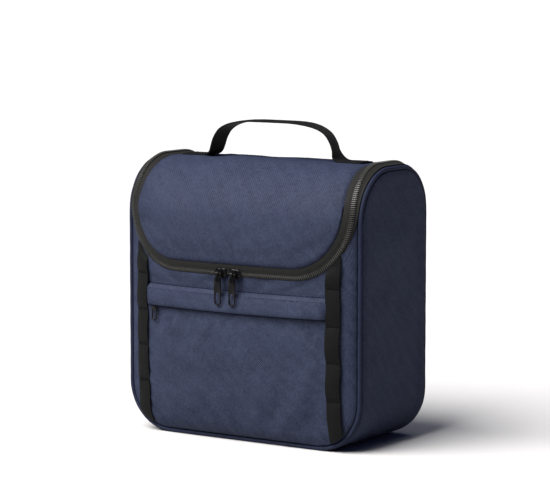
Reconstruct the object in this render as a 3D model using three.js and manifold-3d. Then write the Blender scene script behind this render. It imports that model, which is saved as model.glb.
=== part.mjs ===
// Wash bag with a zipped lid: padded fabric panels, a two-slider zip round three sides of the lid, a zipped
// front pocket under a flap, two webbing gear strips and a webbing carrying handle.
//
// Millimetres. +X is the right-hand side seen from the front, -Y is the front, +Z is up. The origin is the
// middle of the underside. The front, top and back are one saddle-shaped surface: a point on it is (x, s,
// h), where s is the distance from the front bottom edge, up the front, over the top and down the back, and
// h is the height out of the surface.
import * as THREE from "three";
import Module from "manifold-3d";
import { mergeVertices } from "three/addons/utils/BufferGeometryUtils.js";

// Bag body.
const WIDTH = 240;
const DEPTH = 108;
const HEIGHT = 239;
const CORNER_RADIUS = 43; // bottom corners, seen from the front
const TOP_FRONT_RADIUS = 46; // front top edge, seen from the side
const TOP_REAR_RADIUS = 40;
const FRONT_FULLNESS = 15; // how far the middle of the front swells out
const BACK_FULLNESS = 8;
const PIPING_RADIUS = 2;
const SEAM_INSET = 2 * PIPING_RADIUS + 0.3; // from the bag's edge, where the piping is, to the panels

// Layers of the padded panels, as heights: fabric outside, foam, lining inside.
const FABRIC = [0, -1];
const FOAM = [-1.3, -3.3];
const LINING = [-3.6, -4];
const GAP = 0.3;

// Lid and its zip.
const LID_BOTTOM = 155; // s of the lid's front edge
const LID_FLAT_HALF = 60; // half of the straight stretch of that edge
const LID_SIDE_S = 205; // s where the lid's rounded corner ends
const LID_SIDE_HALF = 105; // half-width there
const LID_CREST_HALF = 101; // half-width over the top
const LID_LIFT = 5; // how far the lid's front edge stands proud
const LID_LIFT_CREST = 1;
const HINGE_ANGLE = 70; // degrees round the rear top edge, where the lid is sewn on
const TAPE_WIDTH = 7.6; // one side of the zip tape
const COIL_WIDTH = 1.3;
const COIL_HEIGHTS = [2.2, 0.6];
const TAPE_THICKNESS = 0.7;
const COIL_GAP = 0.4; // between the two rows of the closed zip
const TAPE_END = 0.8; // from the hinge line to the end of the tape
const COIL_END = 6; // from the hinge line to the end of the coil
const TAB_HEIGHTS = [1, GAP]; // of the tabs sewn over the tape's ends below the hinge
const TAB_START = 4.5;
const TAB_LENGTH = 7;
const MOUTH_BOTTOM = 144.8; // s of the front panel's top edge
const TAPE_EDGE_X = WIDTH / 2 - SEAM_INSET - GAP;

// Front pocket.
const POCKET_HALF = 91; // half-width between the gear strips
const POCKET_BOTTOM = 12;
const POCKET_ZIP_Z = 117;
const FLAP_TOP = 131.2;
const FLAP_BOTTOM = 114;
const POCKET_SLIDER_X = -82;

// Gear strips.
const STRIP_WIDTH = 12;
const STRIP_X = 98;
const STRIP_CLEARANCE = 1; // from its ends to the front panel's edges
const STRIP_HEIGHTS = [1.9, 0.6];
const TACK_HEIGHTS = [141, 109, 78, 46];

// Zip sliders and pulls.
const SLIDER_X = { left: -9.2, right: 5.4 };
const SLIDER = {
  length: 12,
  height: 9,
  base: 2.6,
  thickness: 1.5,
  barRadius: 0.7,
  barHeight: 7.8,
  barDrop: 0,
};
const POCKET_SLIDER = {
  length: 9,
  height: 6.5,
  base: 2,
  thickness: 0.7,
  barRadius: 0.4,
  barHeight: 4,
  barDrop: 1.8,
};
const PULL = { length: 27.6, width: 6.8, thickness: 1.2, eyeOuter: 1.9, eyeInner: 1, eyeWidth: 3 };
const POCKET_PULL = { length: 15.4, width: 6.4, thickness: 0.9, eyeOuter: 1, eyeInner: 0.65, eyeWidth: 2.6 };

// Handle.
const HANDLE_Y = -1;
const HANDLE_WIDTH = 20;
const HANDLE_THICKNESS = 1.4;
const HANDLE_PIVOT_Z = HEIGHT + 10.3;
const HANDLE_TOP_Z = 273.3;

const wasm = await Module();
wasm.setup();

// ----------------------------------------------------------------------------------------------------
// The saddle surface.

const FRONT_STRAIGHT = HEIGHT - TOP_FRONT_RADIUS;
const CREST_START = FRONT_STRAIGHT + (TOP_FRONT_RADIUS * Math.PI) / 2;
const REAR_ARC_START = CREST_START + DEPTH - TOP_FRONT_RADIUS - TOP_REAR_RADIUS;
const REAR_STRAIGHT_START = REAR_ARC_START + (TOP_REAR_RADIUS * Math.PI) / 2;
const GIRTH = REAR_STRAIGHT_START + HEIGHT - TOP_REAR_RADIUS;
const HINGE_S = REAR_ARC_START + TOP_REAR_RADIUS * THREE.MathUtils.degToRad(HINGE_ANGLE);
const CORNER_X = WIDTH / 2 - CORNER_RADIUS;
const PANEL_HALF = WIDTH / 2 - SEAM_INSET;
const PANEL_CORNER = CORNER_RADIUS - SEAM_INSET;
const ARC_STEPS = 6; // facets in each quarter turn over the top
const CORNER_STEPS = 4; // facets in each bottom corner
const LID_CORNER_STEPS = CORNER_STEPS + 1; // facets in each of the lid's corners, to match the panel

// The side view's outline at s: the point, and the outward direction there.
function profile(s) {
  if (s <= FRONT_STRAIGHT) return { y: -DEPTH / 2, z: s, ny: -1, nz: 0 };
  if (s <= CREST_START) {
    const a = (s - FRONT_STRAIGHT) / TOP_FRONT_RADIUS;
    const centreY = -DEPTH / 2 + TOP_FRONT_RADIUS;
    return {
      y: centreY - TOP_FRONT_RADIUS * Math.cos(a),
      z: FRONT_STRAIGHT + TOP_FRONT_RADIUS * Math.sin(a),
      ny: -Math.cos(a),
      nz: Math.sin(a),
    };
  }
  if (s <= REAR_ARC_START) {
    return { y: -DEPTH / 2 + TOP_FRONT_RADIUS + s - CREST_START, z: HEIGHT, ny: 0, nz: 1 };
  }
  if (s <= REAR_STRAIGHT_START) {
    const a = (s - REAR_ARC_START) / TOP_REAR_RADIUS;
    const centreY = DEPTH / 2 - TOP_REAR_RADIUS;
    const centreZ = HEIGHT - TOP_REAR_RADIUS;
    return {
      y: centreY + TOP_REAR_RADIUS * Math.sin(a),
      z: centreZ + TOP_REAR_RADIUS * Math.cos(a),
      ny: Math.sin(a),
      nz: Math.cos(a),
    };
  }
  return { y: DEPTH / 2, z: GIRTH - s, ny: 1, nz: 0 };
}

// Height of a front or back panel's bottom edge at x, with its rounded corners.
function bottomEdge(x) {
  const past = Math.max(0, Math.abs(x) - CORNER_X);
  return CORNER_RADIUS - Math.sqrt(Math.max(0, PANEL_CORNER ** 2 - past ** 2));
}

// Half-width of a front or back panel at height z.
function halfWidth(z) {
  const below = Math.max(0, CORNER_RADIUS - z);
  return CORNER_X + Math.sqrt(Math.max(0, PANEL_CORNER ** 2 - below ** 2));
}

// How far the filled bag swells out at (x, s). It is 0 along every seam.
function swell(x, s) {
  const front = s < REAR_ARC_START;
  const z = front ? Math.min(s, FRONT_STRAIGHT) : Math.min(GIRTH - s, HEIGHT - TOP_REAR_RADIUS);
  const across = Math.max(0, 1 - (x / halfWidth(z)) ** 2) ** 0.65;
  if (front) {
    const rise = Math.min(1, Math.max(0, (s - SEAM_INSET) / 100));
    const fall = Math.max(0, (s - 130) / (CREST_START - 130));
    return FRONT_FULLNESS * across * (1 - (1 - rise) ** 2) ** 0.6 * Math.max(0, 1 - fall ** 2);
  }
  const t = Math.min(1, Math.max(0, (s - HINGE_S) / (GIRTH - SEAM_INSET - HINGE_S)));
  return BACK_FULLNESS * across * (4 * t * (1 - t)) ** 0.7;
}

// The point at (x, s), h above the surface.
function onSurface(x, s, h) {
  const p = profile(s);
  const out = swell(x, s) + h;
  return new THREE.Vector3(x, p.y + p.ny * out, p.z + p.nz * out);
}

// How far the lid stands above the surface at s.
function lidLift(s) {
  const toFront = THREE.MathUtils.smoothstep(CREST_START - s, 0, CREST_START - LID_BOTTOM);
  const toHinge = THREE.MathUtils.smoothstep(s, REAR_ARC_START, HINGE_S);
  return LID_LIFT_CREST * (1 - toHinge) + (LID_LIFT - LID_LIFT_CREST) * toFront;
}

// s of the front panel's top edge at x.
function mouthEdge(x) {
  const share = Math.min(1, Math.max(0, Math.abs(x) - LID_FLAT_HALF) / (TAPE_EDGE_X - LID_FLAT_HALF));
  return LID_SIDE_S - (LID_SIDE_S - MOUTH_BOTTOM) * Math.sqrt(1 - share ** 2);
}

// ----------------------------------------------------------------------------------------------------
// Solids.

const group = new THREE.Group();
const finishes = {
  navy: new THREE.MeshStandardMaterial({ color: 0x3d4360, roughness: 0.85, metalness: 0 }),
  foam: new THREE.MeshStandardMaterial({ color: 0xd8d8d4, roughness: 0.9, metalness: 0 }),
  lining: new THREE.MeshStandardMaterial({ color: 0x24262c, roughness: 0.8, metalness: 0 }),
  tape: new THREE.MeshStandardMaterial({ color: 0x2b2b2a, roughness: 0.8, metalness: 0 }),
  webbing: new THREE.MeshStandardMaterial({ color: 0x242524, roughness: 0.75, metalness: 0 }),
  coil: new THREE.MeshStandardMaterial({ color: 0x1c1c1c, roughness: 0.45, metalness: 0 }),
  enamel: new THREE.MeshStandardMaterial({ color: 0x0d0d0d, roughness: 0.3, metalness: 0.4 }),
  board: new THREE.MeshStandardMaterial({ color: 0x9a9a94, roughness: 0.7, metalness: 0 }),
};

function addMesh(name, geometry, finish, parent = group) {
  const mesh = new THREE.Mesh(geometry, finishes[finish]);
  mesh.name = name;
  parent.add(mesh);
  return mesh;
}

// A closed sheet between two grids of points, outer[i][j] and inner[i][j], where i runs to the right and j
// runs up when it is seen from outside: a box whose front is laid on the outer grid and whose back is laid
// on the inner one.
function sheet(outer, inner) {
  const columns = outer.length - 1;
  const rows = outer[0].length - 1;
  const geometry = new THREE.BoxGeometry(1, 1, 1, columns, rows, 1);
  const position = geometry.attributes.position;
  for (let k = 0; k < position.count; k++) {
    const i = Math.round((position.getX(k) + 0.5) * columns);
    const j = Math.round((position.getY(k) + 0.5) * rows);
    const layer = position.getZ(k) > 0 ? outer : inner;
    position.setXYZ(k, ...layer[i][j].toArray());
  }
  // The back's squares are split along the same diagonals as the front's, which keeps stacked sheets
  // parallel.
  const back = geometry.groups[5];
  const index = geometry.index;
  for (let k = back.start; k < back.start + back.count; k += 6) {
    index.setX(k + 2, index.getX(k + 4));
    index.setX(k + 3, index.getX(k));
  }
  return geometry;
}

// A sheet on the saddle surface. grid[i][j] is [x, s], or [x, s, extra height]. heights is [outer, inner].
function saddleSheet(grid, heights) {
  const layer = (h) => grid.map((column) => column.map(([x, s, extra = 0]) => onSurface(x, s, h + extra)));
  return sheet(layer(heights[0]), layer(heights[1]));
}

// A round cord along a closed line of points, each with the direction across it that its section starts
// from: a torus whose sections are moved to those points.
function closedCord(stations, radius, sides) {
  const count = stations.length;
  const geometry = new THREE.TorusGeometry(1, 0.1, sides, count);
  const position = geometry.attributes.position;
  for (let m = 0; m <= sides; m++) {
    const angle = (2 * Math.PI * (m % sides)) / sides;
    for (let k = 0; k <= count; k++) {
      const { point, across } = stations[k % count];
      const before = stations[(k + count - 1) % count].point;
      const after = stations[(k + 1) % count].point;
      const along = after.clone().sub(before).normalize();
      const first = across.clone().addScaledVector(along, -across.dot(along)).normalize();
      const second = first.clone().cross(along);
      const place = point.clone();
      place.addScaledVector(first, radius * Math.cos(angle));
      place.addScaledVector(second, radius * Math.sin(angle));
      position.setXYZ(m * (count + 1) + k, ...place.toArray());
    }
  }
  return geometry;
}

function toManifold(geometry) {
  const bare = geometry.clone();
  bare.deleteAttribute("normal");
  bare.deleteAttribute("uv");
  const merged = mergeVertices(bare, 1e-3);
  return new wasm.Manifold(
    new wasm.Mesh({
      numProp: 3,
      vertProperties: merged.attributes.position.array,
      triVerts: new Uint32Array(merged.index.array),
    }),
  );
}

// Several overlapping geometries as one solid.
function joined(...geometries) {
  const solid = geometries.map(toManifold).reduce((a, b) => a.add(b));
  const mesh = solid.getMesh();
  const geometry = new THREE.BufferGeometry();
  geometry.setAttribute("position", new THREE.BufferAttribute(new Float32Array(mesh.vertProperties), 3));
  geometry.setIndex([...mesh.triVerts]);
  return geometry;
}

function box(from, to) {
  const size = new THREE.Vector3().subVectors(to, from);
  const middle = from.clone().addScaledVector(size, 0.5);
  return new THREE.BoxGeometry(size.x, size.y, size.z).translate(middle.x, middle.y, middle.z);
}

// ----------------------------------------------------------------------------------------------------
// Body panels.

const mirrored = (half) => [...half.slice(1).reverse().map((x) => -x), ...half];
const cornerAngles = Array.from({ length: CORNER_STEPS + 1 }, (_, k) => (k * Math.PI) / 2 / CORNER_STEPS);
const lidCornerAngles = Array.from(
  { length: LID_CORNER_STEPS + 1 },
  (_, k) => (k * Math.PI) / 2 / LID_CORNER_STEPS,
);
const arcAngles = Array.from({ length: ARC_STEPS + 1 }, (_, k) => (k * Math.PI) / 2 / ARC_STEPS);

// Columns across the front and back: three over the straight of the zip, then those of the rounded corner.
const panelColumns = mirrored([
  0,
  LID_FLAT_HALF / 2,
  LID_FLAT_HALF,
  ...cornerAngles.map((a) => CORNER_X + PANEL_CORNER * Math.sin(a)),
]);

function addFrontPanels() {
  const shares = [0, 0.05, 0.13, 0.25, 0.42, 0.62, 0.81, 1];
  const grid = panelColumns.map((x) => {
    const from = bottomEdge(x);
    const to = mouthEdge(x) - GAP;
    return shares.map((share) => [x, from + (to - from) * share]);
  });
  addMesh("front_panel", saddleSheet(grid, FABRIC), "navy");
  addMesh("front_foam", saddleSheet(grid, FOAM), "foam");
  addMesh("front_lining", saddleSheet(grid, LINING), "lining");
}

function addBackPanels() {
  const shares = [0.2, 0.45, 0.7, 0.86, 0.95, 1];
  const grid = panelColumns.map((x) => {
    const top = HINGE_S + GAP;
    const to = GIRTH - bottomEdge(x);
    const straight = shares.map((share) => REAR_STRAIGHT_START + (to - REAR_STRAIGHT_START) * share);
    return [top, (top + REAR_STRAIGHT_START) / 2, REAR_STRAIGHT_START, ...straight].map((s) => [x, s]);
  });
  addMesh("back_panel", saddleSheet(grid, FABRIC), "navy");
  addMesh("back_foam", saddleSheet(grid, FOAM), "foam");
  addMesh("back_lining", saddleSheet(grid, LINING), "lining");
}

// Columns across a side panel, each with the height where it ends under the arch of the top edge.
function archColumns() {
  const frontRadius = TOP_FRONT_RADIUS - SEAM_INSET;
  const rearRadius = TOP_REAR_RADIUS - SEAM_INSET;
  const frontCentre = -DEPTH / 2 + TOP_FRONT_RADIUS;
  const rearCentre = DEPTH / 2 - TOP_REAR_RADIUS;
  const front = arcAngles.map((a) => ({
    y: frontCentre - frontRadius * Math.cos(a),
    top: FRONT_STRAIGHT + frontRadius * Math.sin(a),
  }));
  const rear = arcAngles.map((a) => ({
    y: rearCentre + rearRadius * Math.sin(a),
    top: HEIGHT - TOP_REAR_RADIUS + rearRadius * Math.cos(a),
  }));
  return [...front, ...rear];
}

// One side of the gusset: from the base seam, round the bottom corner and up the side. hand is 1 on the
// right.
function sidePanel(hand, heights) {
  const layer = (h) =>
    archColumns().map(({ y, top }) => {
      const radius = CORNER_RADIUS + h;
      const corner = cornerAngles.map(
        (a) => {
          const x = hand * (CORNER_X + radius * Math.sin(a));
          return new THREE.Vector3(x, y, CORNER_RADIUS - radius * Math.cos(a));
        },
      );
      const wall = [0.5, 1].map(
        (share) => {
          const z = CORNER_RADIUS + (top - CORNER_RADIUS) * share;
          return new THREE.Vector3(hand * (CORNER_X + radius), y, z);
        },
      );
      return [...corner, ...wall];
    });
  const outer = layer(heights[0]);
  const inner = layer(heights[1]);
  return hand > 0 ? sheet(outer, inner) : sheet(outer.reverse(), inner.reverse());
}

function addGusset() {
  for (const [side, hand] of [["left", -1], ["right", 1]]) {
    addMesh(`side_panel_${side}`, sidePanel(hand, FABRIC), "navy");
    addMesh(`side_lining_${side}`, sidePanel(hand, LINING), "lining");
  }
  const baseLayer = (name, [top, bottom], finish) => {
    const x = CORNER_X - GAP;
    const y = DEPTH / 2 - SEAM_INSET;
    addMesh(name, box(new THREE.Vector3(-x, -y, -top), new THREE.Vector3(x, y, -bottom)), finish);
  };
  baseLayer("base_panel", FABRIC, "navy");
  baseLayer("base_board", FOAM, "board");
  baseLayer("base_lining", LINING, "lining");
}

// The piped seam: round the front panel, over the right-hand arch, round the back panel and over the left-
// hand arch.
function addPiping() {
  const centre = WIDTH / 2 - PIPING_RADIUS;
  const radius = CORNER_RADIUS - PIPING_RADIUS;
  const stations = [];
  const corner = (hand, face, angles) => {
    for (const a of angles) {
      stations.push({
        point: new THREE.Vector3(
          hand * (CORNER_X + radius * Math.sin(a)),
          face * (DEPTH / 2 - PIPING_RADIUS),
          CORNER_RADIUS - radius * Math.cos(a),
        ),
        across: new THREE.Vector3(hand * Math.sin(a), 0, -Math.cos(a)),
      });
    }
  };
  const arch = (hand, backwards) => {
    const front = arcAngles.map((a) => FRONT_STRAIGHT + TOP_FRONT_RADIUS * a);
    const rear = arcAngles.map((a) => REAR_ARC_START + TOP_REAR_RADIUS * a);
    const all = [...front, ...rear];
    for (const s of backwards ? all.reverse() : all) {
      const p = profile(s);
      stations.push({
        point: new THREE.Vector3(hand * centre, p.y - p.ny * PIPING_RADIUS, p.z - p.nz * PIPING_RADIUS),
        across: new THREE.Vector3(hand, 0, 0),
      });
    }
  };
  const falling = [...cornerAngles].reverse();
  corner(-1, -1, falling);
  corner(1, -1, cornerAngles);
  arch(1, false);
  corner(1, 1, falling);
  corner(-1, 1, cornerAngles);
  arch(-1, true);
  addMesh("seam_piping", closedCord(stations, PIPING_RADIUS, 6), "navy");
}

// ----------------------------------------------------------------------------------------------------
// Lid and main zip.

// Rows of the lid from its front edge to the hinge: s and the half-width there.
function lidRows() {
  const rounded = lidCornerAngles.map((a) => ({
    s: LID_SIDE_S - (LID_SIDE_S - LID_BOTTOM) * Math.cos(a),
    half: LID_FLAT_HALF + (LID_SIDE_HALF - LID_FLAT_HALF) * Math.sin(a),
  }));
  const half = (s) => {
    const share = Math.min(1, (s - LID_SIDE_S) / (CREST_START - LID_SIDE_S));
    return LID_SIDE_HALF + (LID_CREST_HALF - LID_SIDE_HALF) * share;
  };
  const arcStations = arcAngles.map((a) => FRONT_STRAIGHT + TOP_FRONT_RADIUS * a);
  const frontArc = arcStations.filter((s) => s > LID_SIDE_S + 1);
  const rearArc = arcAngles.map((a) => REAR_ARC_START + TOP_REAR_RADIUS * a).filter((s) => s < HINGE_S - 2);
  return [...rounded, ...[...frontArc, ...rearArc, HINGE_S - GAP].map((s) => ({ s, half: half(s) }))];
}

function addLid() {
  const shares = [-1, -0.75, -0.5, -0.25, 0, 0.25, 0.5, 0.75, 1];
  const grid = shares.map((share) => lidRows().map(({ s, half }) => [share * half, s, lidLift(s)]));
  addMesh("lid_panel", saddleSheet(grid, FABRIC), "navy");
  addMesh("lid_foam", saddleSheet(grid, FOAM), "foam");
  addMesh("lid_lining", saddleSheet(grid, LINING), "lining");
}

// The line that runs u outside the lid's edge, from the hinge on the left, round the front, to the hinge on
// the right. It stops end short of the hinge line.
function zipLine(u, end = TAPE_END) {
  const flat = [0, LID_FLAT_HALF / 2].map((x) => [x, LID_BOTTOM - u]);
  const rounded = lidCornerAngles.map((a) => [
    LID_FLAT_HALF + (LID_SIDE_HALF - LID_FLAT_HALF + u) * Math.sin(a),
    LID_SIDE_S - (LID_SIDE_S - LID_BOTTOM + u) * Math.cos(a),
  ]);
  const side = lidRows()
    .filter(({ s }) => s > LID_SIDE_S + 1)
    .map(({ s, half }) => [Math.min(half + u, TAPE_EDGE_X), Math.min(s, HINGE_S - end)]);
  const half = [...flat, ...rounded, ...side];
  return [...half.slice(1).reverse().map(([x, s]) => [-x, s]), ...half];
}

// The outer edge of the body's half of the tape, station for station with zipLine. Its front is the mouth's
// edge.
function mouthLine() {
  const zip = zipLine(TAPE_WIDTH + COIL_GAP);
  const front = panelColumns.map((x) => Math.sign(x) * Math.min(Math.abs(x), TAPE_EDGE_X));
  const sideStations = (zip.length - front.length) / 2;
  return zip.map(([x, s], k) => {
    const across = front[k - sideStations];
    return across === undefined ? [Math.sign(x) * TAPE_EDGE_X, s] : [across, mouthEdge(across)];
  });
}

// A strip along the zip. lines is a list, from the inner side outwards, of { line, top, thickness }, where
// top is a height or a function of s.
function zipStrip(lines) {
  const heightAt = (top, s) => (typeof top === "function" ? top(s) : top);
  const layer = (depth) =>
    lines[0].line.map((_, k) =>
      [...lines].reverse().map(({ line, top, thickness }) => {
        const [x, s] = line[k];
        return onSurface(x, s, heightAt(top, s) - depth * thickness);
      }),
    );
  return sheet(layer(0), layer(1));
}

function addMainZip() {
  const lidTapeTop = (s) => lidLift(s) - 0.8;
  const inner = TAPE_WIDTH + COIL_GAP;
  const [coilTop, coilBottom] = COIL_HEIGHTS;
  const thickness = coilTop - coilBottom;
  const coil = (from) =>
    zipStrip([from, from + COIL_WIDTH].map((u) => ({ line: zipLine(u, COIL_END), top: coilTop, thickness })));
  const lidTape = [
    { line: zipLine(0.35), top: lidTapeTop, thickness: TAPE_THICKNESS },
    { line: zipLine(5), top: GAP, thickness: TAPE_THICKNESS },
    { line: zipLine(TAPE_WIDTH), top: GAP, thickness: TAPE_THICKNESS },
  ];
  const bodyTape = [
    { line: zipLine(inner), top: GAP, thickness: TAPE_THICKNESS },
    { line: mouthLine(), top: 0, thickness: TAPE_THICKNESS },
  ];
  addMesh("zip_tape_lid", zipStrip(lidTape), "tape");
  addMesh("zip_coil_lid", coil(TAPE_WIDTH - COIL_WIDTH), "coil");
  addMesh("zip_tape_body", zipStrip(bodyTape), "tape");
  addMesh("zip_coil_body", coil(inner), "coil");
}

// Binding over the hinge seam inside, and a tab over each end of the zip.
function addHingeTrim() {
  const rectangle = (x0, x1, s0, s1, heights) =>
    saddleSheet([[[x0, s0], [x0, s1]], [[x1, s0], [x1, s1]]], heights);
  const s0 = HINGE_S + 0.5;
  addMesh("hinge_binding", rectangle(-LID_CREST_HALF, LID_CREST_HALF, s0, s0 + 7, [-4.9, -5.6]), "lining");
  const [near, far] = [LID_CREST_HALF + 0.5, TAPE_EDGE_X];
  const [top, bottom] = [HINGE_S + TAB_START, HINGE_S + TAB_START + TAB_LENGTH];
  addMesh("zip_end_tab_left", rectangle(-far, -near, top, bottom, TAB_HEIGHTS), "tape");
  addMesh("zip_end_tab_right", rectangle(near, far, top, bottom, TAB_HEIGHTS), "tape");
}

// ----------------------------------------------------------------------------------------------------
// Front pocket and gear strips.

const pocketColumns = mirrored([0, CORNER_X / 3, (2 * CORNER_X) / 3, CORNER_X, POCKET_HALF]);

// A sheet across the pocket. rows is a list, upwards, of [z, outer height, inner height].
function pocketSheet(rows) {
  const layer = (n) =>
    pocketColumns.map((x) => rows.map((row) => onSurface(x, Math.max(row[0], bottomEdge(x) + 1.5), row[n])));
  return sheet(layer(1), layer(2));
}

function addPocket() {
  const band = (from, to, top, bottom) => pocketSheet([[from, top, bottom], [to, top, bottom]]);
  const face = [POCKET_BOTTOM, 20, 32, 50, 72, 95, POCKET_ZIP_Z - 3].map((z) => [z, 1.7, 0.9]);
  addMesh("pocket_face", pocketSheet(face), "navy");
  addMesh("pocket_tape_lower", band(POCKET_ZIP_Z - 2.7, POCKET_ZIP_Z - 0.2, 0.9, 0.4), "tape");
  addMesh("pocket_tape_upper", band(POCKET_ZIP_Z + 0.2, POCKET_ZIP_Z + 8, 0.9, 0.4), "tape");
  addMesh("pocket_coil_lower", band(POCKET_ZIP_Z - 1.3, POCKET_ZIP_Z - 0.2, 1.7, 1.1), "coil");
  addMesh("pocket_coil_upper", band(POCKET_ZIP_Z + 0.2, POCKET_ZIP_Z + 1.3, 1.7, 1.1), "coil");
  const flap = [
    [FLAP_BOTTOM, 6.2, 5.5],
    [FLAP_BOTTOM + 10, 6.2, 5.5],
    [FLAP_TOP - 2.5, 3.2, 2.2],
    [FLAP_TOP, 1.2, 0.4],
  ];
  addMesh("pocket_flap", pocketSheet(flap), "navy");
}

function addGearStrips() {
  const heights = [22, 34, 50, 72, 95, 120, 140];
  for (const [side, hand] of [["left", -1], ["right", 1]]) {
    const edges = [hand * STRIP_X - STRIP_WIDTH / 2, hand * STRIP_X + STRIP_WIDTH / 2];
    const grid = edges.map((x) =>
      [bottomEdge(x) + STRIP_CLEARANCE, ...heights, mouthEdge(x) - STRIP_CLEARANCE].map((z) => [x, z]),
    );
    addMesh(`gear_strip_${side}`, saddleSheet(grid, STRIP_HEIGHTS), "webbing");
    TACK_HEIGHTS.forEach((z, k) => {
      const tack = edges.map((x) => [[x, z - 0.8], [x, z + 0.8]]);
      addMesh(`bar_tack_${side}_${k + 1}`, saddleSheet(tack, [3.1, 2.4]), "webbing");
    });
  }
}

// ----------------------------------------------------------------------------------------------------
// Sliders and pulls. Each is made at its own origin, facing -Y, and placed by its group.

// Where a slider sits at (x, s): its origin on the surface, turned to face straight out.
function placeOnSurface(x, s) {
  const holder = new THREE.Group();
  holder.position.copy(onSurface(x, s, 0));
  const step = 1;
  const slope = onSurface(x + step, s, 0).sub(onSurface(x - step, s, 0));
  holder.rotation.z = Math.atan2(slope.y, slope.x);
  group.add(holder);
  return holder;
}

// Slider plate with the bar that its pull hangs on. The nose points along +X times facing.
function sliderGeometry({ length, height, base, thickness, barRadius, barHeight, barDrop }, facing) {
  const outline = new THREE.Shape();
  outline.moveTo(-length / 2, -height / 2);
  outline.lineTo(length / 6, -height / 2);
  outline.lineTo(length / 2, -height / 3);
  outline.lineTo(length / 2, height / 3);
  outline.lineTo(length / 6, height / 2);
  outline.lineTo(-length / 2, height / 2);
  const plate = new THREE.ExtrudeGeometry(outline, { depth: thickness, bevelEnabled: false })
    .rotateX(Math.PI / 2)
    .translate(0, -base, 0)
    .rotateY(facing > 0 ? 0 : Math.PI);
  const legX = length / 2 - 2.2;
  const legs = [-legX, legX].map((x) =>
    box(
      new THREE.Vector3(x - barRadius, -(barHeight + barRadius), -barDrop - barRadius),
      new THREE.Vector3(x + barRadius, -base - thickness / 2, -barDrop + barRadius),
    ),
  );
  const bar = new THREE.CylinderGeometry(barRadius, barRadius, 2 * legX, 8)
    .rotateZ(Math.PI / 2)
    .translate(0, -barHeight, -barDrop);
  return joined(plate, bar, ...legs);
}

// Pull: an eye round the slider's bar, and a plate with a long hole near its tip. Its origin is the eye's
// axis.
function pullGeometry({ length, width, thickness, eyeOuter, eyeInner, eyeWidth }) {
  const shoulder = -eyeOuter - 1.6;
  const neck = -(eyeOuter + eyeInner) / 2; // the plate starts inside the eye's wall
  const tipCentre = -length + width / 2;
  const outline = new THREE.Shape();
  outline.moveTo(-eyeWidth / 2, neck);
  outline.lineTo(-width / 2, shoulder);
  outline.lineTo(-width / 2, tipCentre);
  outline.absarc(0, tipCentre, width / 2, Math.PI, 2 * Math.PI, false);
  outline.lineTo(width / 2, shoulder);
  outline.lineTo(eyeWidth / 2, neck);
  const hole = new THREE.Path();
  const holeRadius = width / 2 - 1.2;
  hole.absarc(0, tipCentre, holeRadius, Math.PI, 2 * Math.PI, false);
  hole.absarc(0, tipCentre + width / 2, holeRadius, 0, Math.PI, false);
  outline.holes.push(hole);
  const options = { depth: thickness, bevelEnabled: false, curveSegments: 6 };
  const plate = new THREE.ExtrudeGeometry(outline, options);
  plate.rotateX(Math.PI / 2).translate(0, thickness / 2, 0);
  const ring = new THREE.Shape();
  ring.absarc(0, 0, eyeOuter, 0, 2 * Math.PI, false);
  const inside = new THREE.Path();
  inside.absarc(0, 0, eyeInner, 0, 2 * Math.PI, true);
  ring.holes.push(inside);
  const eye = new THREE.ExtrudeGeometry(ring, { depth: eyeWidth, bevelEnabled: false, curveSegments: 6 })
    .rotateY(Math.PI / 2)
    .translate(-eyeWidth / 2, 0, 0);
  return joined(plate, eye);
}

function addSlider(name, x, s, slider, pull, facing) {
  const holder = placeOnSurface(x, s);
  addMesh(`${name}_slider`, sliderGeometry(slider, facing), "enamel", holder);
  const hung = addMesh(`${name}_pull`, pullGeometry(pull), "enamel", holder);
  hung.position.set(0, -slider.barHeight, -slider.barDrop);
}

function addSliders() {
  const zipS = LID_BOTTOM - TAPE_WIDTH - COIL_GAP / 2;
  addSlider("left", SLIDER_X.left, zipS, SLIDER, PULL, -1);
  addSlider("right", SLIDER_X.right, zipS, SLIDER, PULL, 1);
  addSlider("pocket", POCKET_SLIDER_X, POCKET_ZIP_Z, POCKET_SLIDER, POCKET_PULL, 1);
}

// ----------------------------------------------------------------------------------------------------
// Handle: one webbing strip, made as two sewn feet that turn up, and the hoop that folds between them.

// A flat strip of webbing along points [x, z] that run from -X to +X.
function webbing(points) {
  const side = (offset, y) =>
    points.map(([x, z], k) => {
      const before = points[Math.max(0, k - 1)];
      const after = points[Math.min(points.length - 1, k + 1)];
      const along = new THREE.Vector2(after[0] - before[0], after[1] - before[1]).normalize();
      return new THREE.Vector3(x - along.y * offset, y, z + along.x * offset);
    });
  const layer = (offset) => {
    const near = side(offset, HANDLE_Y - HANDLE_WIDTH / 2);
    const far = side(offset, HANDLE_Y + HANDLE_WIDTH / 2);
    return near.map((point, k) => [point, far[k]]);
  };
  return sheet(layer(HANDLE_THICKNESS / 2), layer(-HANDLE_THICKNESS / 2));
}

function addHandle() {
  const footZ = HEIGHT + LID_LIFT_CREST + GAP + HANDLE_THICKNESS / 2;
  const foot = [[94, footZ], [71, footZ], [66.5, footZ + 1], [63.5, footZ + 3.4], [61.9, HANDLE_PIVOT_Z - GAP]];
  addMesh("handle_foot_right", webbing([...foot].reverse()), "webbing");
  addMesh("handle_foot_left", webbing(foot.map(([x, z]) => [-x, z])), "webbing");
  const crownZ = HANDLE_TOP_Z - HANDLE_THICKNESS / 2;
  const knots = [[61.7, HANDLE_PIVOT_Z + GAP], [59, 256.7], [53, 264.4], [42, 269.6], [25, 272.4], [0, crownZ]];
  const curve = new THREE.CatmullRomCurve3(knots.map(([x, z]) => new THREE.Vector3(x, 0, z)));
  const half = curve.getPoints(12).map(({ x, z }) => [x, z]);
  const hoop = [...half.map(([x, z]) => [-x, z]), ...half.slice(0, -1).reverse()];
  addMesh("handle_hoop", webbing(hoop), "webbing");
}

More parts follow.
